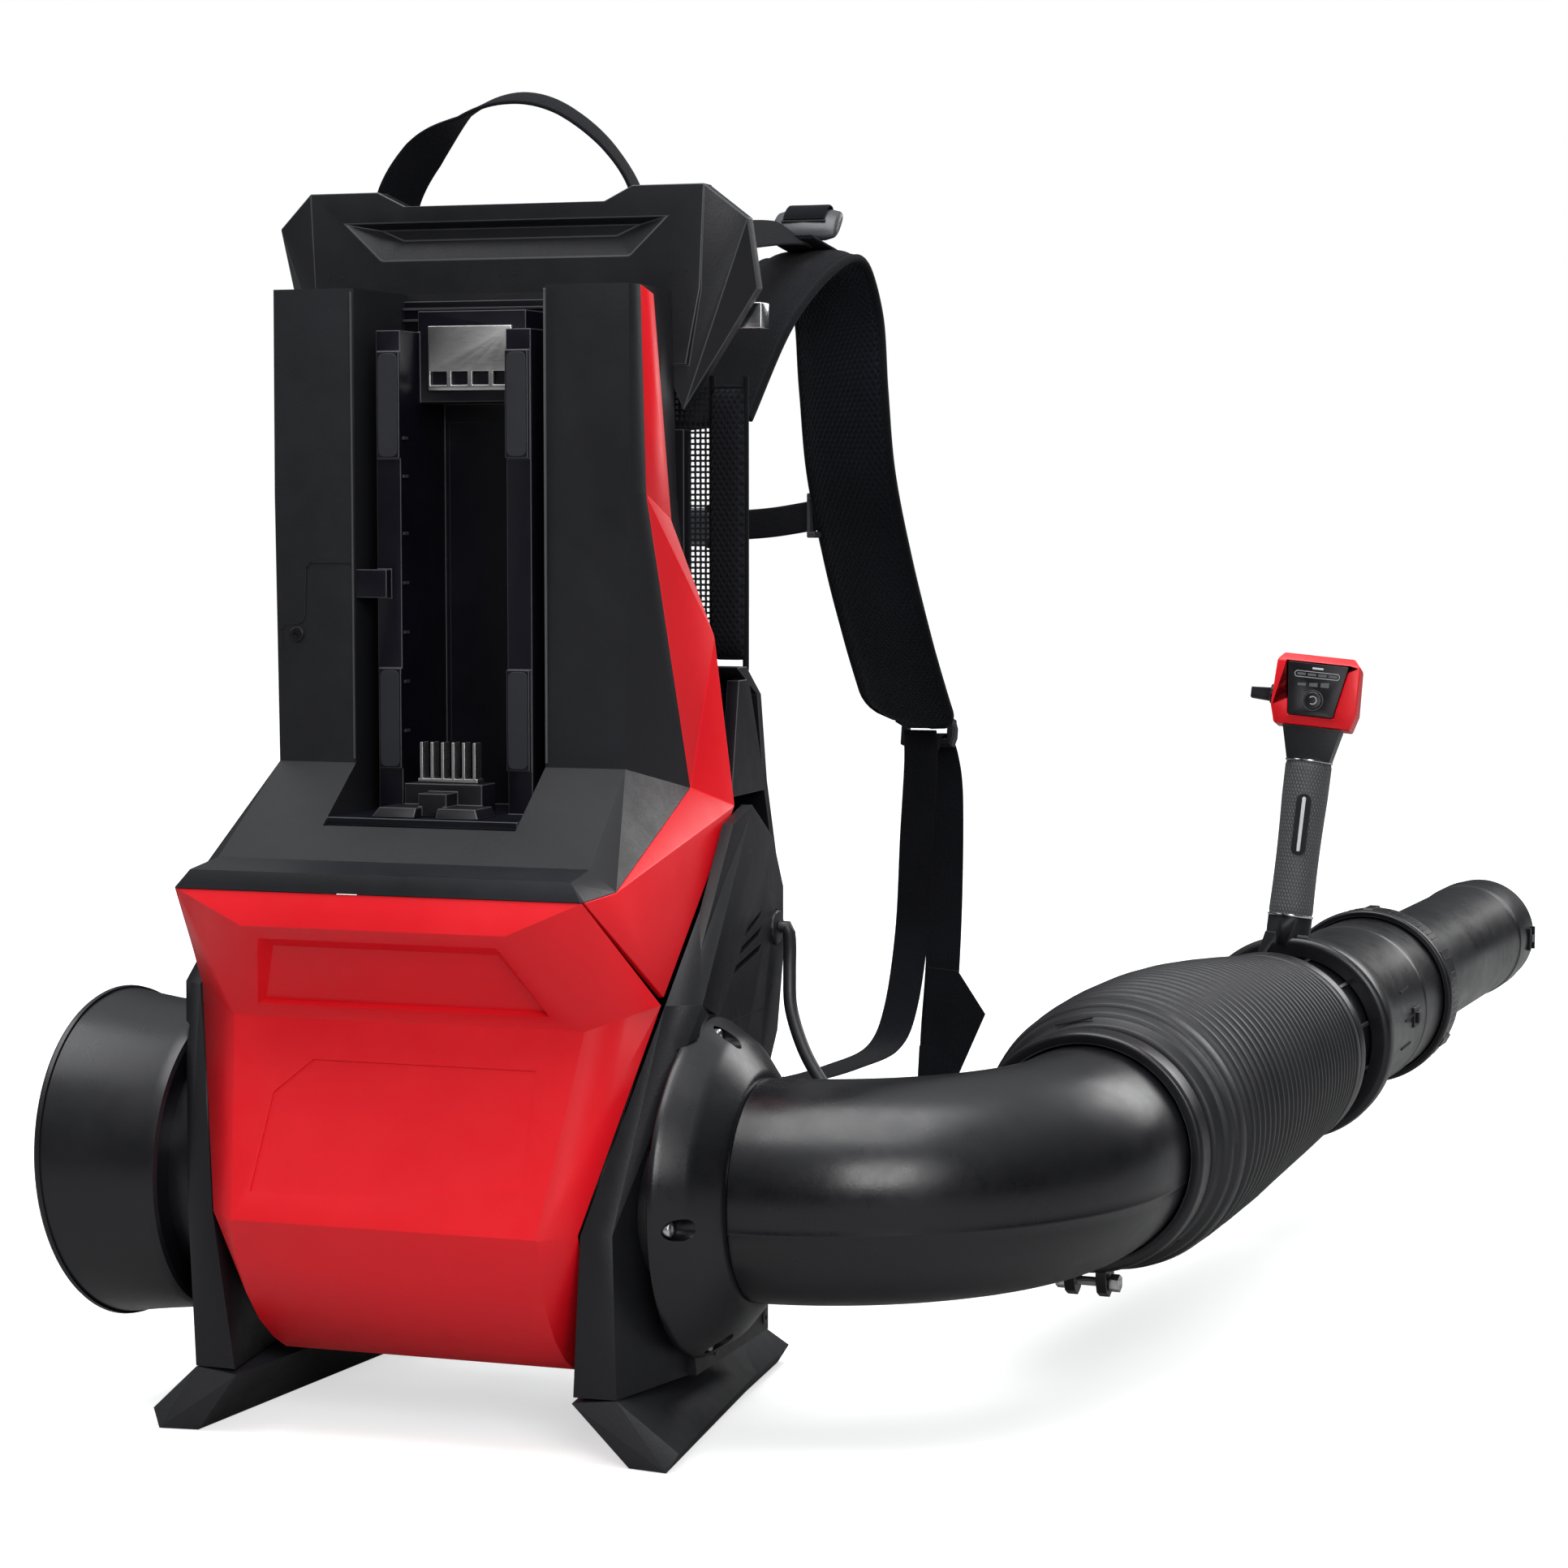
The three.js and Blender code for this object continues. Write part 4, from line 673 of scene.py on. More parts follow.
def elbow():
    """The bent duct, with a fine parting line along its outer and inner sides."""
    seams = (-12, 168)
    angles = sorted([a for a in range(-90, 270, 4) if min(abs(a - s) for s in seams) > 2]
                    + [s + d for s in seams for d in (-1.1, -0.45, 0.45, 1.1)])
    verts = []
    for centre, sideways in elbow_stations():
        for wall in (58.0, 54.5):
            for a in angles:
                near = min(abs(a - s) for s in seams)
                step = 0.45 if wall > 56 and near < 0.6 else 0.0
                r = wall + step
                verts.append(tuple(centre + sideways * (r * math.cos(rad(a))) + Vector((0, 0, r * math.sin(rad(a))))))
    count = len(angles)
    rows = len(verts) // (2 * count)
    faces = []
    for i in range(rows - 1):
        for k in range(count):
            n = (k + 1) % count
            a, b = 2 * i * count, 2 * (i + 1) * count
            faces.append((a + k, b + k, b + n, a + n))
            faces.append((a + count + k, a + count + n, b + count + n, b + count + k))
    for i in (0, rows - 1):
        a = 2 * i * count
        faces += [(a + k, a + (k + 1) % count, a + count + (k + 1) % count, a + count + k)
                  for k in range(count)]
    grommet = moved(lathe([(3.8, -4), (7.5, -4), (7.5, 2.5), (6, 4), (3.8, 4)], 32, 0.6),
                    Matrix.Translation((209.1, -10.5, 137.6)) @ Matrix.Rotation(rad(27.2), 4, "Z"))
    build("elbow_shell", [(verts, faces, None), grommet], duct, replaced=["elbow"], crease=50)


inlet_bell()
outlet_flange()
elbow()


# ---------- hose ----------
def clamp_ring():
    hoop = lathe([(59.2, -14), (64.5, -14), (66, -12), (66, 3), (63.6, 5), (62.4, 13.2), (55, 13.2),
                  (55, 0.3), (59.2, 0.3)], 112, 1.1)
    lugs = []
    for x in (-9, 9):
        side = [(y, z) for y, z in ((-12, -61), (-12, -70), (-9.5, -77), (-4, -80), (1.5, -77), (4, -70), (4, -61))]
        lugs.append(hull([(x + d, y, z) for d in (-3, 3) for y, z in side]))
    build("clamp_hoop", [hoop, *lugs], duct, frame_matrix=TUBE, replaced=["clamp_ring"],
          bevel=0.7, edge=duct_edge_highlight)


def interpolate(knots, s):
    """Smooth value through (station, value) knots."""
    for (s0, v0), (s1, v1) in zip(knots, knots[1:]):
        if s <= s1:
            t = max(0.0, (s - s0) / (s1 - s0))
            return v0 + (v1 - v0) * t
    return knots[-1][1]


HOSE_RADII = [(14, 66), (45, 75), (60, 76.6), (100, 77), (150, 76.4), (192, 74.6), (240, 72), (290, 69),
              (335, 66), (370, 63)]
HOSE_RISES = [(14, 0), (28, 1), (60, 2.8), (90, 4), (140, 4.9), (192, 5), (240, 4), (290, 2.5), (335, 1), (370, 0)]
RIDGE_PITCH = 10.9


def ridges(start, count):
    """Stations and radius offsets of rounded ridges with narrow valleys."""
    out = []
    for i in range(count):
        s = start + i * RIDGE_PITCH
        out += [(s, -4.6), (s + 0.8, -4.8), (s + 2.2, -4.2), (s + 3.5, -1.7), (s + 4.5, -0.35), (s + 5.6, 0),
                (s + 7.0, 0), (s + 8.1, -0.35), (s + 9.1, -1.7)]
    return out


def hose_mesh(outline):
    """A wavy sleeve from (station, outer offset) pairs, with a thin wall."""
    segments = 120
    verts = []
    for s, r in outline:
        for wall in (0, 2.2):
            for k in range(segments):
                a = 2 * math.pi * k / segments
                rr = r - wall
                verts.append((rr * math.cos(a), s, interpolate(HOSE_RISES, s) + rr * math.sin(a)))
    faces = []
    rows = len(outline)
    for i in range(rows - 1):
        for k in range(segments):
            n = (k + 1) % segments
            a, b = 2 * i * segments, 2 * (i + 1) * segments
            faces.append((a + k, b + k, b + n, a + n))
            faces.append((a + segments + k, a + segments + n, b + segments + n, b + segments + k))
    for i in (0, rows - 1):
        a = 2 * i * segments
        faces += [(a + k, a + (k + 1) % segments, a + segments + (k + 1) % segments, a + segments + k)
                  for k in range(segments)]
    return verts, faces, None


def hose():
    """The bellows in two halves that meet in a valley."""
    cuff = [(14.0, 63.5), (14.4, 65.6), (15.4, 66.4), (22.0, 67.6), (22.8, 68.6), (23.4, 70.6), (24.4, 71.4),
            (31.0, 72.4), (31.8, 71.4), (32.8, 71.4), (33.4, 73.6), (34.4, 74.4), (41.5, 75.6),
            (42.8, 75.2), (43.6, 73.4), (44.0, 71.2)]
    near_count = 13
    near_start = 192 - near_count * RIDGE_PITCH
    near = cuff + [(s, interpolate(HOSE_RADII, s) + d) for s, d in ridges(near_start, near_count)]
    near = [p for i, p in enumerate(near) if i < len(cuff) or p[0] > 45.0]
    near.append((192.0, interpolate(HOSE_RADII, 192) - 4.6))
    far_count = 15
    far = [(s, interpolate(HOSE_RADII, s) + d) for s, d in ridges(192.3, far_count)]
    tail = 192.3 + far_count * RIDGE_PITCH
    far += [(tail, 60.5), (tail + 1, 60.6), (tail + 2.4, 64.0), (tail + 4, 64.6), (tail + 12.0, 64.0),
            (tail + 13.2, 62.8), (370.0, 60.6)]
    far = [p for p in far if p[0] <= 370.0]
    first = build("hose_bellows_near", hose_mesh(near), bellows_rubber, body=None, frame_matrix=TUBE,
                  replaced=["hose_near"], crease=60)
    second = build("hose_bellows_far", hose_mesh(far), bellows_rubber, body=None, frame_matrix=TUBE,
                   replaced=["hose_far"], crease=60)
    # Two dark blocks on the cuff stand for its slots: painted shade in the openings.
    slots = [hull([(r * math.sin(a + d), s + e, 1.4 + r * math.cos(a + d))
                   for d in (-0.16, 0.16) for e in (-0.7, 0.7) for r in (67.2, 68.4)])
             for a, s in ((-0.25, 19.2), (2.6, 19.2))]
    build("hose_cuff_slots", slots, dark_line, frame_matrix=TUBE)
    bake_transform(first)
    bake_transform(second)


def swivel_collar():
    """The hose's end ring, with a ribbed sleeve that the tube turns on."""
    hoop = lathe([(50.5, 370.3), (60, 370.3), (63.2, 373), (64, 381), (62, 390), (57, 393.5), (53.2, 395),
                  (53.2, 462), (50.5, 462)], 112, 1.0)
    ribs = []
    for degrees in range(15, 375, 30):
        turn = Matrix.Rotation(rad(degrees), 4, "Y")
        ribs.append(moved(box((53.0, 396, -1.1), (56.2, 432, 1.1)), turn))
    windows = [moved(box((52.6, 404, -8), (53.9, 420, 8)), Matrix.Rotation(rad(d), 4, "Y")) for d in (0, 90, 180, 270)]
    build("swivel_ring", [hoop, *ribs, *windows], duct, "hose_end", TUBE, ["swivel_collar"],
          bevel=0.35, edge=duct_edge_highlight)


def mid_tube():
    """The flared funnel and the tube that the nozzle slides in."""
    skin = lathe([(54, 440), (63.5, 440), (66.4, 441.6), (67.2, 446), (66.6, 458), (64, 471), (60.3, 486),
                  (57.2, 498), (56, 508), (56, 600), (56.6, 602), (56.6, 612), (56, 614), (56, 690),
                  (44.8, 690), (44.8, 674), (53.5, 672), (53.5, 476), (54, 474)], 128, 1.2)
    build("tube_shell", skin, duct, "tube", TUBE, ["mid_tube"], bevel=0)
    marks = []
    for degrees in (18, -2, -22):
        turn = Matrix.Rotation(rad(degrees), 4, "Y")
        marks.append(moved(hull([(r, s, z + (s - 540) * 0.05) for r in (55.7, 56.5)
                                 for s in (536, 562) for z in (-0.8, 0.8)]), turn))
    build("tube_marks", marks, dark_line, "tube", TUBE)
    latch = [box((55, 560, -6), (57.2, 576, 8)), box((56.5, 562, -3), (60.0, 568, 5)),
             box((56.5, 570, -3), (58.6, 574, 5))]
    build("tube_latch", latch, black, "tube", TUBE, bevel=0.6, edge=duct_edge_highlight)


def lock_nut():
    hoop = lathe([(56.9, 660), (60.5, 660), (61.6, 662), (61.6, 668), (60.2, 671), (60.6, 692), (58.5, 700),
                  (45.3, 700), (45.3, 690.5), (56.9, 690.5)], 120, 0.9)
    lugs = []
    for i in range(6):
        turn = Matrix.Rotation(2 * math.pi * (i + 0.5) / 6, 4, "Y")
        lugs.append(moved(hull([(x, s, z) for x, s in ((59, 664), (62.4, 666), (62.4, 688), (59, 693))
                                for z in (-3.5, 3.5)]), turn))
    ribs = []
    for i in range(6):
        for k in range(-4, 5):
            turn = Matrix.Rotation(2 * math.pi * i / 6 + rad(4.2 * k), 4, "Y")
            ribs.append(moved(box((59.8, 674, -0.5), (60.9, 690, 0.5)), turn))
    build("lock_ring_shell", [hoop, *lugs, *ribs], duct, "lock_ring", TUBE, ["lock_nut"],
          bevel=0.5, edge=duct_edge_highlight)


def nozzle():
    skin = lathe([(41, 560), (44, 560), (44, 742), (44.6, 744), (44.6, 748), (44, 750), (44, 1012),
                  (45.1, 1014), (45.1, 1048), (44, 1050), (43.6, 1076), (42.6, 1078), (40.6, 1078),
                  (40.4, 1050), (41, 1046)], 112, 1.0)
    ends = [box((43.4, 1058, -9), (47.6, 1060.4, 9)), box((43.4, 1044, -9), (47.0, 1046.4, 9)),
            box((43.4, 1044, -6), (45.6, 1061, 6)), box((45.2, 1048, -3), (47.6, 1056, 3))]
    build("nozzle_shell", [skin, *ends], duct, "nozzle_tube", TUBE, ["nozzle"], bevel=0.4, edge=duct_edge_highlight)


clamp_ring()
hose()
swivel_collar()
mid_tube()
lock_nut()
nozzle()


# ---------- control handle ----------
def grip():
    """A soft sleeve, flatter at its sides, open at the back for the trigger."""
    rows, segments = 34, 96
    verts, uvs = [], []
    slot_half = 20
    angles = [rad(90 + slot_half + (360 - 2 * slot_half) * k / (segments - 1)) for k in range(segments)]

    def skin(z):
        t = (z - 80) / 102
        swell = 1.0 - 0.05 * math.sin(math.pi * min(1, t * 1.3)) + 0.05 * t
        return swell

    heights = [80 + 102 * i / rows for i in range(rows + 1)]
    columns = []
    for a in angles:
        loop = []
        for z in heights:
            edge = min(z - 80, 182 - z, 1.2) / 1.2
            r = skin(z) * (1 - 0.05 * (1 - edge))
            loop.append((14.5 * r * math.cos(a), 17.5 * r * math.sin(a), z))
        loop += [(12.4 * math.cos(a), 13.9 * math.sin(a), z) for z in (182, 131, 80)]
        columns.append(loop)
    count = len(columns[0])
    for loop in columns:
        verts += loop
    faces = grid_faces(segments, count, closed_rows=False)
    for i in range(segments - 1):
        for k in range(count):
            n = (k + 1) % count
            left, right = angles[i] * 0.016, angles[i + 1] * 0.016
            low, high = verts[k][2] * MM, verts[n][2] * MM
            uvs.append(((left, low), (right, low), (right, high), (left, high)))
    for i in (0, segments - 1):
        faces.append(tuple(i * count + k for k in range(count)))
        uvs.append(tuple((0.0, 0.0) for _ in range(count)))
    build("grip_sleeve_soft", (verts, faces, uvs), grip_rubber, "tube", GRIP, ["grip_sleeve"], crease=50)
    bands = [upright(lathe([(14.2, 79.4), (15.0, 79.4), (15.0, 80.8), (14.2, 80.8)], 64, 0.2, (1, 1.2))),
             upright(lathe([(14.6, 181.6), (15.6, 181.6), (15.6, 182.8), (14.6, 182.8)], 64, 0.2, (1, 1.2)))]
    build("grip_end_bands", bands, bright_steel, "tube", GRIP)
    well = upright_plate(5, 20.5, 16.4, 17.9)
    build("grip_window_frame", well, black, "tube", GRIP, bevel=0.3, edge=black_edge_highlight_and_grey_parts)
    # A thin white bar down the black window: a painted highlight on the window.
    build("grip_window_painted_highlight", upright_plate(1.2, 18, 17.5, 18.7), white_lens_and_highlight, "tube", GRIP, bevel=0.3)


def upright_plate(half_width, half_height, near, far, middle=(1.0, 140)):
    """A long plate with round ends on the side of the grip away from the trigger."""
    points = []
    for k in range(24):
        a = 2 * math.pi * k / 24
        z = middle[1] + half_width * math.sin(a) + math.copysign(half_height - half_width, math.sin(a))
        lean = (z - middle[1]) * 0.03
        points += [(middle[0] + half_width * math.cos(a), -y - lean, z) for y in (near, far)]
    return hull(points)


def flat_loop(corners, width, low, high):
    """A raised frame of straight bars round an outline of (x, z) corners on the panel."""
    parts = []
    for (x0, z0), (x1, z1) in zip(corners, [*corners[1:], corners[0]]):
        dx, dz = x1 - x0, z1 - z0
        size = math.hypot(dx, dz)
        nx, nz = -dz / size * width / 2, dx / size * width / 2
        parts.append(hull([(x + s * nx, y, z + s * nz) for x, z in ((x0, z0), (x1, z1)) for s in (-1, 1)
                           for y in (low, high)]))
    return parts


def control_panel():
    face = -23.05
    raised = face - 0.25
    half = 14.5
    pill = [(-half, 238.3), (-half + 1, 239.6), (half - 1, 239.6), (half, 238.3), (half, 237.1), (half - 1, 235.8),
            (-half + 1, 235.8), (-half, 237.1)]
    build("panel_outline", flat_loop(pill, 0.5, face + 0.2, raised), panel_grey, "tube", GRIP)
    segments = [hull([(x + d, y, z) for d in (-2.7, 2.7) for z in (236.9, 238.5) for y in (face + 0.2, raised)])
                for x in (-10.2, -3.4, 3.4, 10.2)]
    bars = [hull([(x - w, y, z) for x, w, z in ((x0, 0, 230), (x0, -5.4, 230), (x0, 0, 230 + h), (x0, -5.4, 230.5 + h))
                  for y in (face + 0.2, raised)]) for x0, h in ((-12, 1.6), (-4.4, 2.2), (3.0, 2.9))]
    build("panel_segments", segments + bars, panel_dim, "tube", GRIP)
    lamp = hull([(x, y, z) for x in (-3.6, 3.6) for z in (241.3, 242.6) for y in (face + 0.2, raised - 0.2)])
    build("panel_lamp", lamp, white_lens_and_highlight, "tube", GRIP, bevel=0.2)
    rim = lathe([(6.0, 22.7), (6.9, 22.7), (6.9, 23.6), (6.0, 23.6)], 64, 0.2)
    ring = moved(rim, Matrix.Translation((-1, 0, 221)) @ Matrix.Rotation(rad(180), 4, "Z"))
    build("button_surround", ring, black_edge_highlight_and_grey_parts, "tube", GRIP)
    build("button_symbol", moved(arc_mark(2.5, 0.7, 40, 300, 24.7, 24.95),
                                 Matrix.Translation((-1, 0, 221)) @ Matrix.Rotation(rad(180), 4, "Z")),
          panel_grey, "button_body", GRIP)


def arc_mark(radius, width, start, stop, near, far):
    """A flat open ring round +Y."""
    steps = 24
    verts = []
    for i in range(steps + 1):
        a = rad(start + (stop - start) * i / steps)
        verts += [(r * math.cos(a), y, r * math.sin(a))
                  for r, y in ((radius - width / 2, near), (radius + width / 2, near),
                               (radius + width / 2, far), (radius - width / 2, far))]
    faces = grid_faces(steps + 1, 4, closed_rows=False)
    faces += [(0, 1, 2, 3), tuple(steps * 4 + k for k in range(4))]
    return verts, faces, None


grip()
control_panel()


# ---------- shell details ----------
def strip(points, width, lift, normal_axis=1, depth=0.35):
    """A thin dark joint line through (x, z) points on a face of constant y."""
    parts = []
    for (x0, z0), (x1, z1) in zip(points, points[1:]):
        dx, dz = x1 - x0, z1 - z0
        size = math.hypot(dx, dz)
        nx, nz = -dz / size * width / 2, dx / size * width / 2
        ex, ez = dx / size * width / 2, dz / size * width / 2
        ends = ((x0 - ex, z0 - ez), (x1 + ex, z1 + ez))
        parts.append(hull([(x + s * nx, y, z + s * nz) for x, z in ends for s in (-1, 1)
                           for y in (lift, lift + depth)]))
    return parts


def tower_details():
    lines = strip([(-54, 455.6), (-80, 455.6), (-82.4, 453), (-83.4, 426), (-86, 423.2), (-95, 422.7),
                   (-97.2, 420), (-97.2, 410)], 0.55, -88.75)
    build("access_panel_line", lines, dark_line)
    screw = moved(lathe([(0, 0), (4.1, 0), (4.1, 0.5), (3.2, 0.9), (1.5, 0.9), (1.5, -0.4), (0, -0.4)], 40, 0.15),
                  Matrix.Translation((-88, -88.6, 417.6)) @ Matrix.Rotation(rad(180), 4, "Z"))
    build("access_screw", screw, black)
    pins = [moved(lathe([(0, 0), (0.9, 0), (0.9, 0.25), (0, 0.25)], 16, 0),
                  Matrix.Translation((x, y, 609.6)) @ Matrix.Rotation(rad(180), 4, "Z"))
            for x, y in ((-104, -13.05), (-95.5, -13.05), (-2.8, -13.05), (5.7, -13.05), (95.5, -13.05), (104, -13.05))]
    build("plate_pin_marks", pins, dark_line)
    # Thin strips along the bay's edges in the lighter edge grey: a painted highlight on the edges.
    trim = []
    for x in (-54, 54):
        s = math.copysign(1, x)
        trim.append(hull([(x + s * dx, -88.8 - dy, z) for dx, dy in ((0.2, 0), (1.6, 0), (0.2, 1.1), (1.2, 1.0))
                          for z in (352, 597)]))
    build("bay_edge_highlight_trim", trim, charcoal_edge_highlight, bevel=0.3)
    rows = []
    for z in (500, 520, 470, 444, 418, 392, 366):
        for s in (-1, 1):
            rows.append(box((min(s * 29.2, s * 30.4), -80, z), (max(s * 29.2, s * 30.4), -74, z + 1.6)))
    build("channel_rail_marks", rows, black_edge_highlight_and_grey_parts, bevel=0.2)
    back = strip([(-29, 530), (29, 530)], 0.6, -25.7) + strip([(-27, 530), (-27, 340)], 0.5, -25.7) \
        + strip([(27, 530), (27, 340)], 0.5, -25.7)
    build("channel_back_lines", back, dark_line)
    ribs = [box((-53.5, -27.0, z), (53.5, -25.2, z + 1.4)) for z in (584, 590)]
    build("bay_back_ribs", ribs, black_edge_highlight_and_grey_parts, bevel=0.3)


def guide_plates():
    """Grey sliding plates on the rails, with rounded corners."""
    parts = []
    for s in (-1, 1):
        for low, high in ((347, 400), (510, 566)):
            outline = rounded([(31, low + 1), (42, low + 1), (42, high - 1), (31, high - 1)], 3.5)
            points = [(s * p.x, y, p.y) for p in outline for y in (-84.3, -83.0)]
            parts.append(hull(points))
    build("rail_guide_plates", parts, guide_grey, bevel=0.3)


def foot_details():
    """Grip ribs below each foot."""
    parts = []
    for _, s in SIDES:
        for y in (-128, -92, -56, -20, 16, 52, 84):
            lean = (y + 150) * 20 / 190
            x0, x1 = 122 - lean, 141.5 - lean
            parts.append(hull([(s * x, yy, z) for x in (x0, x1) for yy in (y, y + 9) for z in (0.15, 1.2)]
                              + [(s * (x1 + 4.6), yy, 7.6) for yy in (y + 1, y + 8)]))
    build("foot_ribs", parts, foot_black, bevel=0.5)


def cover_details():
    """Joint lines and screws of the side covers."""
    lines, screws = [], []
    for _, s in SIDES:
        x = 138.15
        path = [(-60, 214), (20, 214), (30, 224)]
        for (y0, z0), (y1, z1) in zip(path, path[1:]):
            dy, dz = y1 - y0, z1 - z0
            size = math.hypot(dy, dz)
            ny, nz = -dz / size * 0.35, dy / size * 0.35
            lines.append(hull([(s * xx, y + k * ny, z + k * nz) for y, z in ((y0, z0), (y1, z1))
                               for k in (-1, 1) for xx in (137.9, x)]))
        for y, z in ((16, 44), (-62, 44), (16, 172), (-10, 300)):
            screws.append(moved(lathe([(0, 0), (3.6, 0), (3.6, 0.5), (2.8, 0.9), (1.3, 0.9), (1.3, 0.1), (0, 0.1)], 32, 0.15),
                                Matrix.Translation((s * 137.95, y, z)) @ Matrix.Rotation(rad(-90 * s), 4, "Z")))
    build("cover_joint_lines", lines, dark_line)
    build("cover_screws", screws, black_edge_highlight_and_grey_parts)


tower_details()
guide_plates()
foot_details()
cover_details()


# ---------- harness ----------
PAD_PATH = [(88, 60, 530), (97, 108, 586), (107, 160, 620), (111, 196, 624), (115, 215, 598),
            (119, 214, 552), (121, 222, 504), (123, 250, 452), (123, 290, 404), (122, 330, 366), (121, 352, 350)]
LIFTER_PATH = [(89, 6, 622), (95, 60, 631), (102, 118, 638), (106, 150, 640), (107, 162, 639)]
ADJUSTER_PATH = [(121, 372, 322), (118, 370, 276), (115, 370, 216), (113, 352, 168),
                 (112, 318, 148), (112, 240, 148), (110, 160, 152), (108, 84, 160)]
CHEST_PATH = [(91, 247, 479), (50, 268, 474), (0, 278, 472), (-50, 268, 474), (-91, 247, 479)]


def mirrored(points, sign):
    return [(x * sign, y, z) for x, y, z in points]


def pad_section(width, thickness, samples=26):
    """A cushion section: full in the middle, pinched where it is sewn, with thin flat borders."""
    half, t = width / 2, thickness / 2
    top = []
    for i in range(samples + 1):
        u = -half + width * i / samples
        x = abs(u) / half
        if x > 0.86:
            height = 0.32 * t
        else:
            height = t * (0.36 + 0.64 * (1 - (x / 0.86) ** 5))
        top.append((u, height))
    return top + [(u, -h) for u, h in reversed(top)]


def shoulder_pad(side, sign):
    path = smooth_path(mirrored(PAD_PATH, sign), 110)
    across = (0.94 * sign, -0.34, 0)
    total = path_length(path)

    def narrow(f):
        ahead = (1 - f) * total
        behind = f * total
        wide = 1.0
        if ahead < 26:
            wide = 0.42 + 0.58 * math.sqrt(max(0.0, 1 - ((26 - ahead) / 26) ** 2))
        thick = min(1.0, 0.55 + ahead / 30, 0.6 + behind / 60)
        return wide, thick

    section = pad_section(61, 12.4)
    verts, faces, uvs = ribbon(path, section, across, narrow)
    pad = build("shoulder_pad_soft_" + side, (verts, faces, uvs), pad_twill, replaced=["shoulder_pad_" + side],
                crease=60)
    pad.data.materials.append(pad_mesh)
    count = len(section)
    stations = frames_along(path, across)
    for poly in pad.data.polygons:
        middle = CHASSIS.inverted() @ poly.center
        nearest = min(stations, key=lambda st: (st[0] - middle).length_squared)
        if (middle - nearest[0]).dot(nearest[2]) * sign < 0:
            poly.material_index = 1
    edges = []
    for edge in (-1, 1):
        line = [c + side_way * (edge * 30.4 * narrow(i / (len(path) - 1))[0])
                for i, (c, side_way, _) in enumerate(stations)]
        edges.append(ribbon(line, [(u, t * 1.15) for u, t in round_section(2.1, 10)], across))
    tip = stations[-1]
    edges.append(ribbon([tip[0] + tip[1] * u for u in range(-13, 14, 2)], round_section(2.2, 10), (0, 0, 1)))
    build("shoulder_pad_binding_" + side, edges, binding, crease=60)
    rows = []
    for face in (-1, 1):
        for edge in (-26.6, 26.6):
            rows += stitches(path[2:-7], across, edge, face * 2.45)
    build("shoulder_pad_stitches_" + side, rows, thread)


def plain_strap(name, path, width, thickness, across, replaced, steps=60):
    points = smooth_path(path, steps)
    obj = build(name, ribbon(points, strap_section(width, thickness), across), webbing, replaced=replaced,
                crease=50)
    return points


def lifter(side, sign):
    path = mirrored(LIFTER_PATH, sign)
    across = (0.82, -0.1 * sign, -0.56 * sign)
    points = plain_strap("lifter_strap_web_" + side, path, 25, 1.8, across, ["lifter_strap_" + side],
                         steps=40)
    rows = [r for edge in (-10.4, 10.4) for r in stitches(points[:14], across, edge, 0.95 * sign)]
    build("lifter_stitches_" + side, rows, thread)
    # The buckle: a curved plastic block, with webbing over its upper half that enters a slot.
    lean = Matrix.Translation((sign * 109, 176, 646)) @ Matrix.Rotation(rad(42), 4, "X")
    slices = ((20.0, 8.5, 2.0), (18.6, 11.0, 4.0), (13.0, 12.6, 5.6), (0.0, 13.0, 6.2))
    block = hull([(s * x, long * math.cos(rad(a)), thick * math.sin(rad(a))) for x, long, thick in slices
                  for s in (-1, 1) for a in range(0, 360, 20)])
    # A dark block stands for the buckle's slot: painted shade in the opening.
    slot_line = box((-13.2, -4.2, 4.0), (13.2, -2.6, 6.35))
    build("lifter_buckle_block_" + side, moved(block, lean), buckle_grey,
          replaced=["lifter_buckle_" + side], bevel=0.8, segments=3, crease=50)
    build("lifter_buckle_slot_" + side, moved(slot_line, lean), dark_line)
    loop = [lean @ Vector(p) for p in ((0, 14.2, -2.6), (0, 14.4, 1.4), (0, 11.6, 4.9), (0, 6.6, 6.9), (0, 1, 7.3),
                                       (0, -2.6, 6.4))]
    tail = smooth_path(loop, 30)
    web = build("lifter_loop_" + side, ribbon(tail, strap_section(25, 1.4), (1, 0, 0)), webbing, crease=50)
    under = smooth_path([(sign * 107, 150, 637.5), (sign * 109, 170, 634), (sign * 111, 190, 630), (sign * 112, 200, 622)], 24)
    flap = build("lifter_anchor_" + side, ribbon(under, strap_section(30, 2.2), (1, -0.1 * sign, 0)), webbing,
                 crease=50)


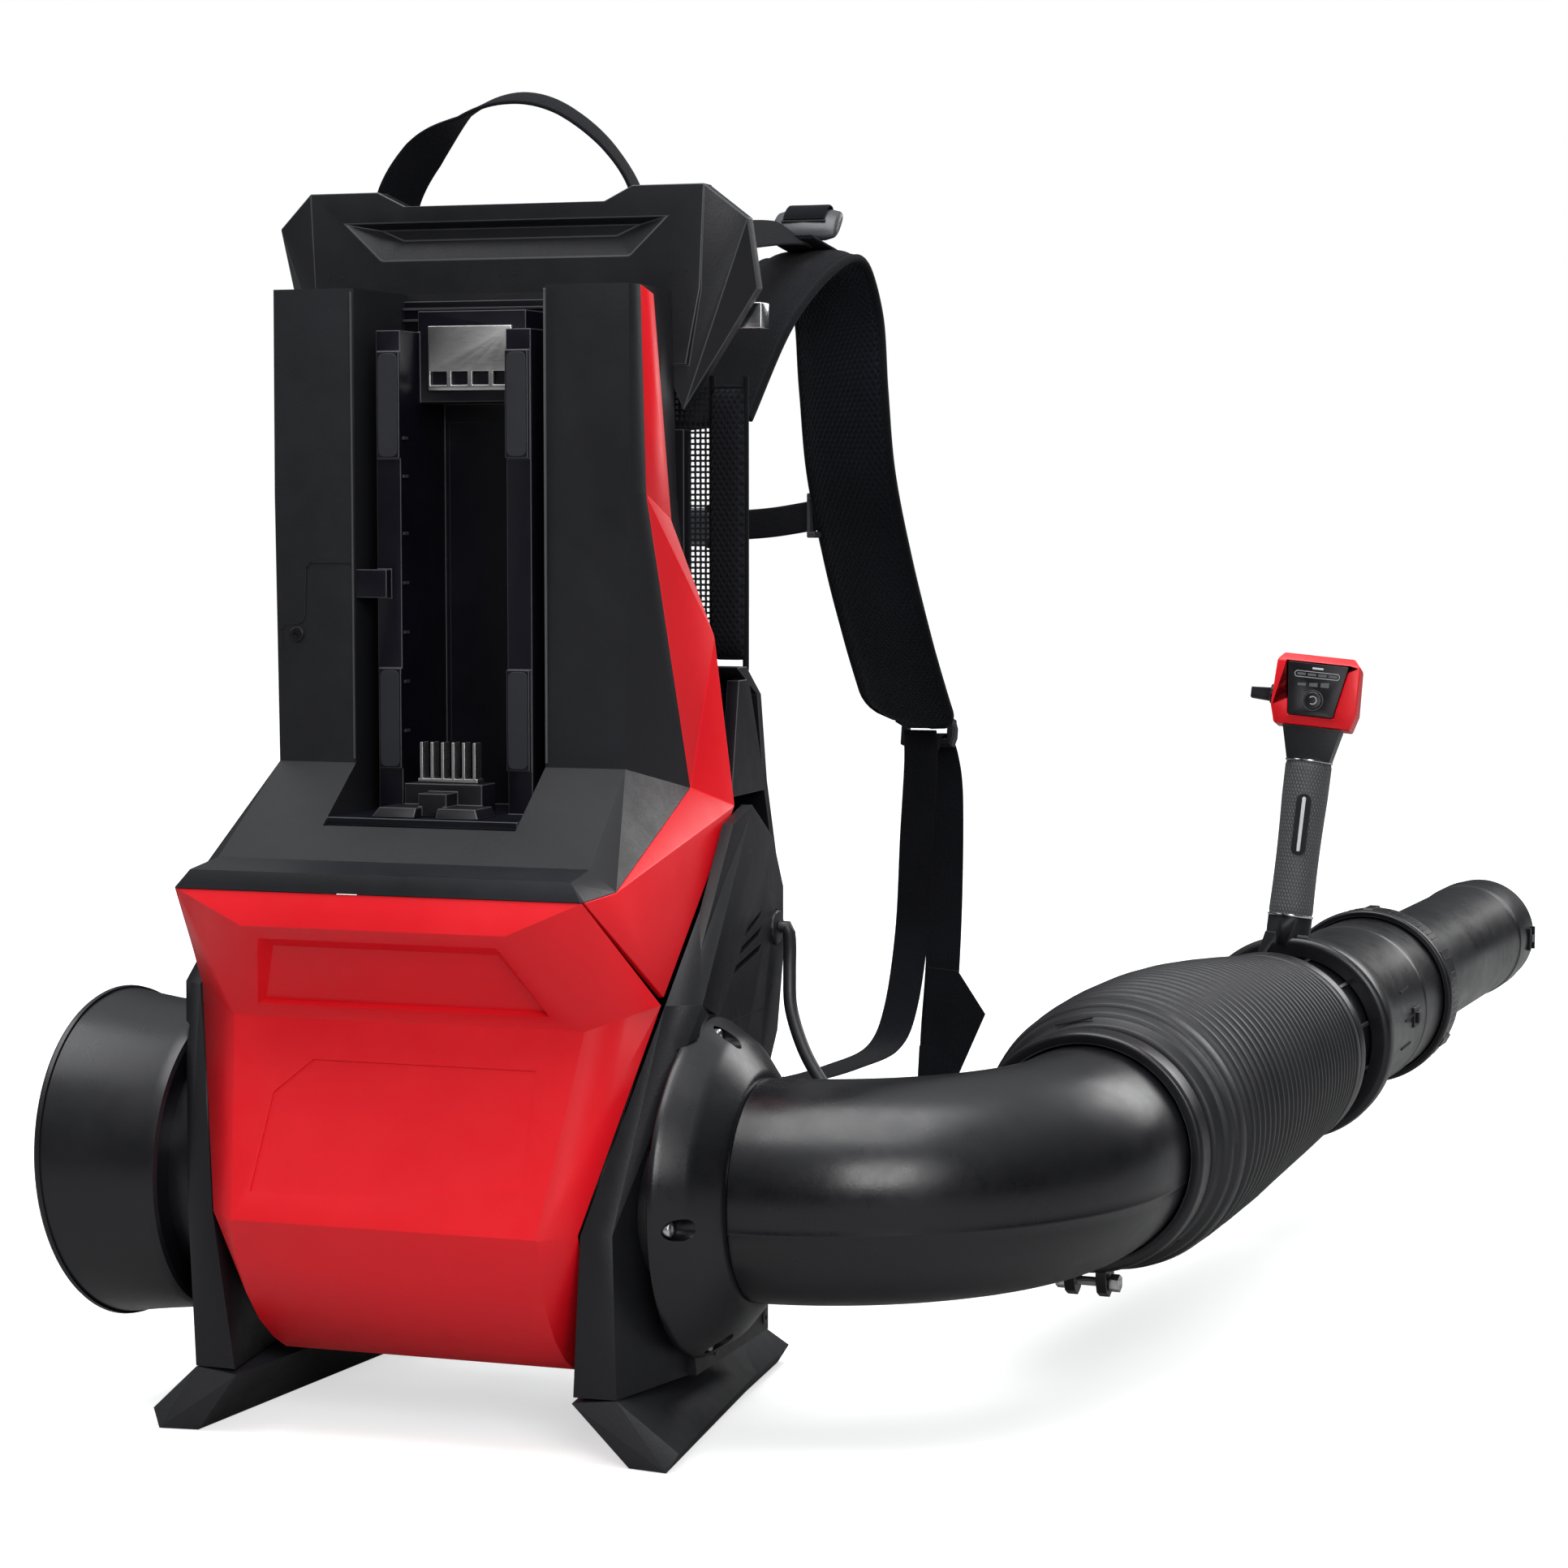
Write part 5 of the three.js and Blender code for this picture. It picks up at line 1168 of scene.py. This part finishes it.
def ladder_buckle(side, sign):
    lean = Matrix.Translation((sign * 121, 386, 341)) @ Matrix.Rotation(rad(-12), 4, "X")
    bars = [box((-17, -5, z0), (17, 5, z1)) for z0, z1 in ((-9, -4.2), (4.2, 9))]
    bars.append(box((min(sign * -17, sign * -13.2), -5, -8), (max(sign * -17, sign * -13.2), 5, 8)))
    build("ladder_buckle_frame_" + side, [moved(b, lean) for b in bars], black,
          replaced=["ladder_buckle_" + side], bevel=1.1, segments=3)
    cheek = hull([(sign * x, y, z) for x, z in ((13.2, -8.6), (13.2, 8.6), (16.4, 8.6), (18.2, 3), (18.2, -3), (16.4, -8.6))
                  for y in (-5.2, 5.2)])
    build("ladder_buckle_cheek_" + side, moved(cheek, lean), black, bevel=1.1, segments=3)
    loop = smooth_path([(sign * 121, 349, 350), (sign * 121, 362, 347), (sign * 121, 374, 345), (sign * 121, 380, 347),
                        (sign * 121, 374, 350), (sign * 121, 362, 353)], 30)
    anchor = build("ladder_anchor_" + side, ribbon(loop, strap_section(22, 1.6), (1, 0, 0)), webbing,
                   crease=50)


def adjuster(side, sign):
    """One length of webbing: up from the lower anchor, over the buckle's bar, and down as a free tail."""
    run = [(121, 366.5, 343.4), (121, 368.6, 335), (120.6, 369.6, 318), *ADJUSTER_PATH[1:]]
    down = smooth_path(mirrored(run, sign), 90)
    across = (1, 0, 0)
    hang = [(121, 371.6, 331), (121, 377, 338.6), (121.5, 385.4, 339.6), (123.5, 391.6, 336), (126.5, 396.4, 326),
            (128.2, 402, 300), (127.4, 404, 240), (127.7, 396, 189), (127.0, 388.6, 150), (126.6, 386.2, 121)]
    tail = smooth_path(mirrored(hang, sign), 80)
    twist = [(1, 0, 0), (0.98, 0.1 * sign, 0), (0.97, 0.2 * sign, 0), (0.96, 0.22 * sign, 0)]
    first = ribbon(down, strap_section(22, 1.7), across)
    second = ribbon(tail, strap_section(22, 1.7), twist)
    # The tail's end is folded back on itself, with a corner turned out.
    fold = smooth_path(mirrored([(126.6, 386.2, 121), (126.5, 384.9, 117.6), (126.6, 383.4, 118.6),
                                 (126.7, 383.6, 124), (127.0, 385.4, 140)], sign), 20)
    third = ribbon(fold, strap_section(22, 1.7), (0.96, 0.22 * sign, 0))
    corner = [(120, 190.2, 389.4), (139.1, 188.4, 391.8), (155.8, 160.4, 397.6), (140.5, 120.6, 387.2), (118.5, 119.4, 382.4)]
    flap = planar(hull([(sign * x, y + d, z) for x, z, y in corner for d in (-0.8, 0.8)]))
    obj = build("adjuster_web_" + side, [first, second, third, flap], webbing, replaced=["adjuster_strap_" + side],
                crease=50)
    rows = [r for edge in (-9.2, 9.2) for r in stitches(down[-16:], across, edge, 0.95)]
    rows += [r for edge in (-9.2, 9.2) for r in stitches(down[-16:], across, edge, -0.95)]
    build("adjuster_stitches_" + side, rows, thread)


def chest_strap():
    points = plain_strap("chest_strap_web", CHEST_PATH, 18, 1.6, (0, 0, 1), ["chest_strap"])
    sliders = []
    for s in (-1, 1):
        place = Matrix.Translation((s * 90.2, 246.6, 479)) @ Matrix.Rotation(rad(s * -27), 4, "Z")
        sliders += [moved(box((x0, -3.4, z0), (x1, 3.4, z1)), place)
                    for x0, x1, z0, z1 in ((-3.4, 3.4, 9.6, 13.4), (-3.4, 3.4, -13.4, -9.6), (-3.4, -0.9, -11, 11))]
    build("chest_sliders", sliders, buckle_grey, bevel=1.0, segments=3)
    middle = Matrix.Translation((0, 278, 472))
    clasp = [hull([(x, y, z) for x, y, z in ((-22, -3.4, -9), (-22, -3.4, 9), (22, -3.4, -9), (22, -3.4, 9),
                                             (-20, 4, -12), (-20, 4, 12), (20, 4, -12), (20, 4, 12))])]
    build("chest_clasp", [moved(c, middle) for c in clasp], buckle_grey, bevel=1.6, segments=4)
    wings = [moved(box((s * 14 - 3, -2.6, -13.4), (s * 14 + 3, 3.2, 13.4)), middle) for s in (-1, 1)]
    build("chest_clasp_wings", wings, black, bevel=0.9)
    rows = [r for edge in (-7.2, 7.2) for r in stitches(points[38:48], (0, 0, 1), edge, 0.85)]
    build("chest_stitches", rows, thread)


def carry_handle():
    """A flat webbing loop that twists from facing the camera at one end to lying flat on top."""
    half = [(69, 14, 618), (71, 14, 650), (54, 14, 678), (27, 14, 699)]
    path = [(-x - 4, y, z) for x, y, z in half] + [(-4, 14, 706)] + [(x - 4, y, z) for x, y, z in reversed(half)]
    points = smooth_path(path, 80)
    across = [(0.55, 0.8, -0.1), (0.75, 0.6, -0.4), (0.55, 0.78, -0.35), (0.12, 0.95, 0.3), (0, 0.95, 0.3),
              (-0.1, 0.97, 0.2), (-0.2, 0.95, 0.2), (-0.1, 1, 0), (0, 1, 0)]
    obj = build("carry_loop_web", ribbon(points, strap_section(25, 2.2), across), webbing,
                replaced=["carry_handle"], crease=50)
    ends = [stitches(points[2:8], across[:1] * 2, edge, 1.2) for edge in (-9, 9)]
    build("carry_stitches", [r for row in ends for r in row], thread)


def back_pad(side, sign):
    """A crowned cushion on the frame's upright, with a sewn border."""
    rows, columns = 30, 12
    verts = []
    for face in (1, -1):
        for i in range(rows + 1):
            for k in range(columns + 1):
                a, b = 2 * i / rows - 1, 2 * k / columns - 1
                crown = (1 - abs(a) ** 6) * (1 - abs(b) ** 4)
                z = 476 + a * 72
                x = sign * (115 + b * (9.2 + 0.4 * (1 - a * a)))
                y = 24.5 + (2.0 + 9.0 * crown ** 0.6) * face
                if face < 0:
                    y = 24.5 - (2.0 + 7.0 * crown ** 0.6)
                verts.append((x, y, z))
    row = columns + 1
    size = (rows + 1) * row
    faces = []
    for base in (0, size):
        faces += [(base + i * row + k, base + i * row + k + 1, base + (i + 1) * row + k + 1, base + (i + 1) * row + k)
                  for i in range(rows) for k in range(columns)]
    rim = ([k for k in range(row)] + [i * row + columns for i in range(1, rows + 1)]
           + [rows * row + k for k in range(columns - 1, -1, -1)] + [i * row for i in range(rows - 1, 0, -1)])
    faces += [(a, b, b + size, a + size) for a, b in zip(rim, [*rim[1:], rim[0]])]
    pad = build("back_pad_soft_" + side, (verts, faces, None), back_pad_mesh, replaced=["back_pad_" + side],
                crease=60)
    outline = rounded([(105.4, 403.6), (124.6, 403.6), (124.6, 548.4), (105.4, 548.4)], 3)
    loop = [Vector((sign * p.x, 24.5, p.y)) for p in outline]
    loop = smooth_path([tuple(p) for p in [*loop, loop[0]]], 120)
    build("back_pad_piping_" + side, ribbon(loop, round_section(1.7, 10), (0, 1, 0)), binding, crease=60)


def back_net():
    """An open net stretched between the back pads."""
    wide, tall = 209.0, 146.0
    across, up = 70, 48
    verts, faces = [], []
    step_x, step_z = wide / across, tall / up
    yarn = 0.6

    def vertex(x, z, y):
        verts.append((x, 24.8 + y, z))
        return len(verts) - 1

    for j in range(up + 1):
        for i in range(across + 1):
            x, z = -wide / 2 + i * step_x, 403 + j * step_z
            base = len(verts)
            for dx, dz in ((-yarn, -yarn), (yarn, -yarn), (yarn, yarn), (-yarn, yarn)):
                vertex(x + dx, z + dz, 0.18 if (i + j) % 2 else -0.18)
            faces.append((base, base + 1, base + 2, base + 3))
            if i:
                left = base - 4
                faces.append((left + 1, base, base + 3, left + 2))
            if j:
                below = base - 4 * (across + 1)
                faces.append((below + 3, below + 2, base + 1, base))
    obj = build("back_net", (verts, faces, None), net, replaced=["back_mesh"], crease=180)
    thick = obj.modifiers.new("yarn", "SOLIDIFY")
    thick.thickness = 0.0003
    thick.offset = 0


for side_name, side_sign in SIDES:
    shoulder_pad(side_name, side_sign)
    lifter(side_name, side_sign)
    ladder_buckle(side_name, side_sign)
    adjuster(side_name, side_sign)
    back_pad(side_name, side_sign)
chest_strap()
carry_handle()
back_net()


# ---------- studio ----------
def studio():
    floor_mesh = bpy.data.meshes.new("floor")
    work = bmesh.new()
    bmesh.ops.create_circle(work, cap_ends=True, segments=96, radius=14)
    work.to_mesh(floor_mesh)
    work.free()
    made, tree, shader = new_material("studio_floor", 0.8, specular_ior_level=0.0)
    cloud = noise(tree, place_of(tree), 3, 3)
    seen = add(tree, "LightPath").outputs["Is Camera Ray"]
    pale = tint(tree, cloud, (0.84, 0.84, 0.845), (0.88, 0.88, 0.88))
    mix = add(tree, "Mix", data_type="RGBA")
    tree.links.new(seen, mix.inputs["Factor"])
    mix.inputs["A"].default_value = (0.36, 0.36, 0.36, 1)
    tree.links.new(pale, mix.inputs["B"])
    tree.links.new(mix.outputs["Result"], shader.inputs["Base Color"])
    shader.inputs["Emission Color"].default_value = (1, 1, 1, 1)
    tree.links.new(math_node(tree, "MULTIPLY", seen, 0.6), shader.inputs["Emission Strength"])
    floor_mesh.materials.append(made)
    floor = bpy.data.objects.new("floor", floor_mesh)
    floor.location.z = -0.0005
    bpy.context.scene.collection.objects.link(floor)
    world = bpy.data.worlds.new("studio")
    bpy.context.scene.world = world
    world.use_nodes = True
    tree = world.node_tree
    tree.nodes.clear()
    path = add(tree, "LightPath")
    height = add(tree, "SeparateXYZ", {"Vector": add(tree, "TexCoord").outputs["Generated"]}).outputs[2]
    sky = math_node(tree, "POWER", math_node(tree, "MAXIMUM", height, 0.0), 2.0)
    glow = math_node(tree, "ADD", math_node(tree, "MULTIPLY", sky, 1.1), 0.045)
    dim = add(tree, "Background", {"Color": (0.96, 0.98, 1, 1), "Strength": glow})
    clear = add(tree, "Background", {"Color": (1, 1, 1, 1), "Strength": 1.0})
    mix = add(tree, "MixShader", {0: path.outputs["Is Camera Ray"], 1: dim.outputs[0], 2: clear.outputs[0]})
    out = add(tree, "OutputWorld")
    tree.links.new(mix.outputs[0], out.inputs["Surface"])


def area_light(name, place, target, size, power, tall=None):
    data = bpy.data.lights.new(name, "AREA")
    data.shape = "RECTANGLE"
    data.size = size
    data.size_y = tall or size
    data.energy = power
    obj = bpy.data.objects.new(name, data)
    obj.location = place
    obj.rotation_euler = (Vector(target) - Vector(place)).to_track_quat("-Z", "Y").to_euler()
    bpy.context.scene.collection.objects.link(obj)


studio()
area_light("top_softbox", (0.1, -0.9, 2.9), (0, -0.2, 0.2), 2.2, 66)
area_light("key_softbox", (1.4, -2.9, 1.5), (0, -0.2, 0.3), 1.2, 38)
area_light("left_softbox", (-2.4, -1.6, 1.5), (-0.1, -0.4, 0.4), 1.2, 8)
area_light("rear_softbox", (1.6, 2.6, 1.8), (0.1, 0.2, 0.3), 1.6, 34)
bpy.context.scene.view_settings.view_transform = "Standard"
